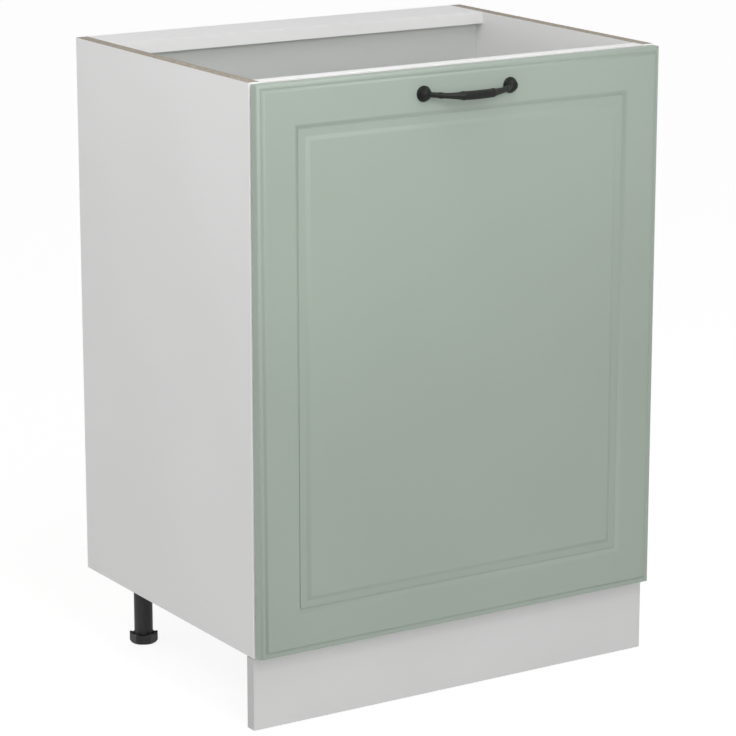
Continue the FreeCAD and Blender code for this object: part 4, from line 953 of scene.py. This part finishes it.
def set_copies(shape, one, places, facing):
    """Adds copies of one mesh to a shape at the places, with their tops facing a direction."""
    facing = Vector(facing).to_track_quat("Z", "Y").to_matrix().to_4x4()
    for index, place in enumerate(places):
        start = len(shape.verts)
        shape.from_mesh(one)
        shape.verts.ensure_lookup_table()
        turn = Matrix.Rotation(math.radians(FIRST_TURN + NEXT_TURN * index), 4, "Z")
        put = Matrix.Translation(place) @ facing @ turn
        bmesh.ops.transform(shape, matrix=put, verts=shape.verts[start:])


def set_screws(node_name, places, facing):
    """Copies of a node's screw with their seats at the places and their heads facing a direction."""
    shape = bmesh.new()
    set_copies(shape, one_screw(*SCREW_SIZES[node_name]), places, facing)
    as_piece(shape, node_name + "_cross", zinc_blue, body_of[node_name], [node_name],
             sharp=35)
    print(node_name, len(places))


# %% [markdown]
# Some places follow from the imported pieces: the heights of the hinges from their cups, the legs from
# their sockets, the faces from the boards. The others are written down here: places in the cabinet's
# frame, half the distance between two holes of a fitting, and how thick the fitting is under the head.

# %% screws
BACKWARDS = (0, 1, 0)
INTO_CABINET = (-1, 0, 0)
DOWN = (0, 0, -1)
DOOR_BACK = door_high.y
INNER_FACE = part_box("right_side_panel")[0].x
HINGE_LEVELS = [middle_of(name).z for name in ("upper_hinge_cup", "lower_hinge_cup")]
LEGS = ("front_left", "rear_left", "front_right", "rear_right")
LEG_PLACES = [middle_of(leg + "_leg_socket") for leg in LEGS]
CUP_FLANGE = 0.0012
CUP_SCREW_X = 0.2675
CUP_SCREW_HALF = 0.0225
PLATE_THICK = 0.004
PLATE_SCREW_Y = -0.160
PLATE_SCREW_HALF = 0.016
CLAMP_SEAT_X = 0.2648
CLAMP_Y = -0.147
SOCKET_SEAT_Z = 0.091
SOCKET_SCREW_HALF = 0.022
CLIP_SEAT_Y = -0.176
CLIP_SIDE = 0.25
CLIP_SCREW_LEVELS = (0.032, 0.064)
BOTH = (-1, 1)
set_screws("hinge_cup_screws",
           [(CUP_SCREW_X, DOOR_BACK + CUP_FLANGE, z + hand * CUP_SCREW_HALF)
            for z in HINGE_LEVELS for hand in BOTH], BACKWARDS)
set_screws("hinge_plate_screws",
           [(INNER_FACE - PLATE_THICK, PLATE_SCREW_Y, z + hand * PLATE_SCREW_HALF)
            for z in HINGE_LEVELS for hand in BOTH], INTO_CABINET)
set_screws("hinge_clamp_screws", [(CLAMP_SEAT_X, CLAMP_Y, z) for z in HINGE_LEVELS], INTO_CABINET)
set_screws("handle_screws", [(hand * HANDLE_HALF, DOOR_BACK, HANDLE_Z) for hand in BOTH], BACKWARDS)
set_screws("leg_screws",
           [(leg.x + hand * SOCKET_SCREW_HALF, leg.y + way * SOCKET_SCREW_HALF, SOCKET_SEAT_Z)
            for leg in LEG_PLACES for hand in BOTH for way in BOTH], DOWN)
set_screws("plinth_clip_screws",
           [(hand * CLIP_SIDE, CLIP_SEAT_Y, z) for hand in BOTH for z in CLIP_SCREW_LEVELS], BACKWARDS)

# %% [markdown]
# The cams that draw the boards together are small cast drums. The face that shows has a cross for the
# driver and a shallow ring inside its rim. It is drawn out the same way as a screw. Most lie in the
# boards with that face down, and those of the front rail face the back.

# %% cams
CAM_RADIUS = 0.0075
CAM_HEIGHT = 0.0114
CAM_EASE = 0.0003
CAM_SIDE = 0.25
FACE_RADIUS = 0.0052
RING_DEPTH = 0.0005
CROSS_ARM = 0.0030
CROSS_HALF = 0.00065
CROSS_DEPTH = 0.0012
LYING_ROWS = ((-0.067, 0.096), (0.113, 0.096), (0.203, 0.800))
UPRIGHT_ROW = (-0.1791, 0.756)
CAM_RIM = CAM_RADIUS - CAM_EASE
CAM_OUTLINE = ((0.0054, 0.0), (0.0057, -RING_DEPTH), (0.0063, -RING_DEPTH), (0.0066, 0.0), (CAM_RIM, 0.0),
               (CAM_RADIUS, -CAM_EASE), (CAM_RADIUS, CAM_EASE - CAM_HEIGHT), (CAM_RIM, -CAM_HEIGHT))
shape = bmesh.new()
ring = cross_top(shape, CROSS_ARM, CROSS_HALF, CROSS_DEPTH, 0.0, FACE_RADIUS)
cam = drawn(shape, ring, (FACE_RADIUS, 0.0), CAM_OUTLINE, "one_cam")
lying = [(hand * CAM_SIDE, *row) for hand in BOTH for row in LYING_ROWS]
upright = [(hand * CAM_SIDE, *UPRIGHT_ROW) for hand in BOTH]
shape = bmesh.new()
set_copies(shape, cam, lying, DOWN)
set_copies(shape, cam, upright, BACKWARDS)
as_piece(shape, "cam_locks_cross", zinc_cast, "carcass", ["cam_locks"], sharp=35)
print("cams:", len(lying) + len(upright))

# %% [markdown]
# The shelf lies on turned pins with a collar and a rounded nose, and the door closes on two small domes.
# Both are round, so each is one outline spun about its own axis.

# %% shelf pins and buffers
TURNED_SIDES = 28
PIN_ROWS = (-0.127, 0.133)
PIN = ((0.0, -0.0100), (0.0018, -0.0100), (0.00245, -0.0093), (0.00245, 0.0), (0.0035, 0.0),
       (0.0035, 0.0011), (0.0031, 0.0014), (0.0031, 0.0019), (0.0035, 0.0022), (0.0035, 0.0066),
       (0.0031, 0.0075), (0.0022, 0.0080), (0.0, 0.0080))
BUFFER_LEVELS = (0.156, 0.756)
DOME = ((0.0, 0.0), (0.0040, 0.0), (0.0040, 0.0005), (0.0037, 0.0009), (0.0030, 0.00128), (0.0020, 0.0015),
        (0.0010, 0.00159), (0.0, 0.0016))


def turned(shape, outline, place, along):
    """Spins an outline of (radius, distance) pairs about an axis that starts at a place."""
    place = Vector(place)
    along = Vector(along)
    across = along.orthogonal().normalized()
    verts = [shape.verts.new(place + across * radius + along * distance) for radius, distance in outline]
    edges = [shape.edges.new(pair) for pair in zip(verts, verts[1:])]
    bmesh.ops.spin(shape, geom=verts + edges, cent=place, axis=along, angle=math.radians(360),
                   steps=TURNED_SIDES, use_merge=True)
    bmesh.ops.remove_doubles(shape, verts=shape.verts, dist=1e-7)


pin_level = middle_of("shelf_pins").z
shape = bmesh.new()
for hand in BOTH:
    for y in PIN_ROWS:
        turned(shape, PIN, (hand * INNER_FACE, y, pin_level), (-hand, 0, 0))
as_piece(shape, "shelf_pins_turned", zinc_cast, "carcass", ["shelf_pins"])

buffer_x = middle_of("door_buffers").x
shape = bmesh.new()
for z in BUFFER_LEVELS:
    turned(shape, DOME, (buffer_x, DOOR_BACK, z), BACKWARDS)
as_piece(shape, "door_buffers_domed", soft_clear, "door", ["door_buffers"])
print("pins:", 2 * len(PIN_ROWS), "buffers:", len(BUFFER_LEVELS))

# %% [markdown]
# Both boxes, the imported model's and the visual model's, are printed side by side. The visual
# model has to stay as large as the imported one.

# %% sizes
visual_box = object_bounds()
for word, box in (("cad:", cad_box), ("visual:", visual_box)):
    print(word, [tuple(round(v, 4) for v in corner) for corner in box])
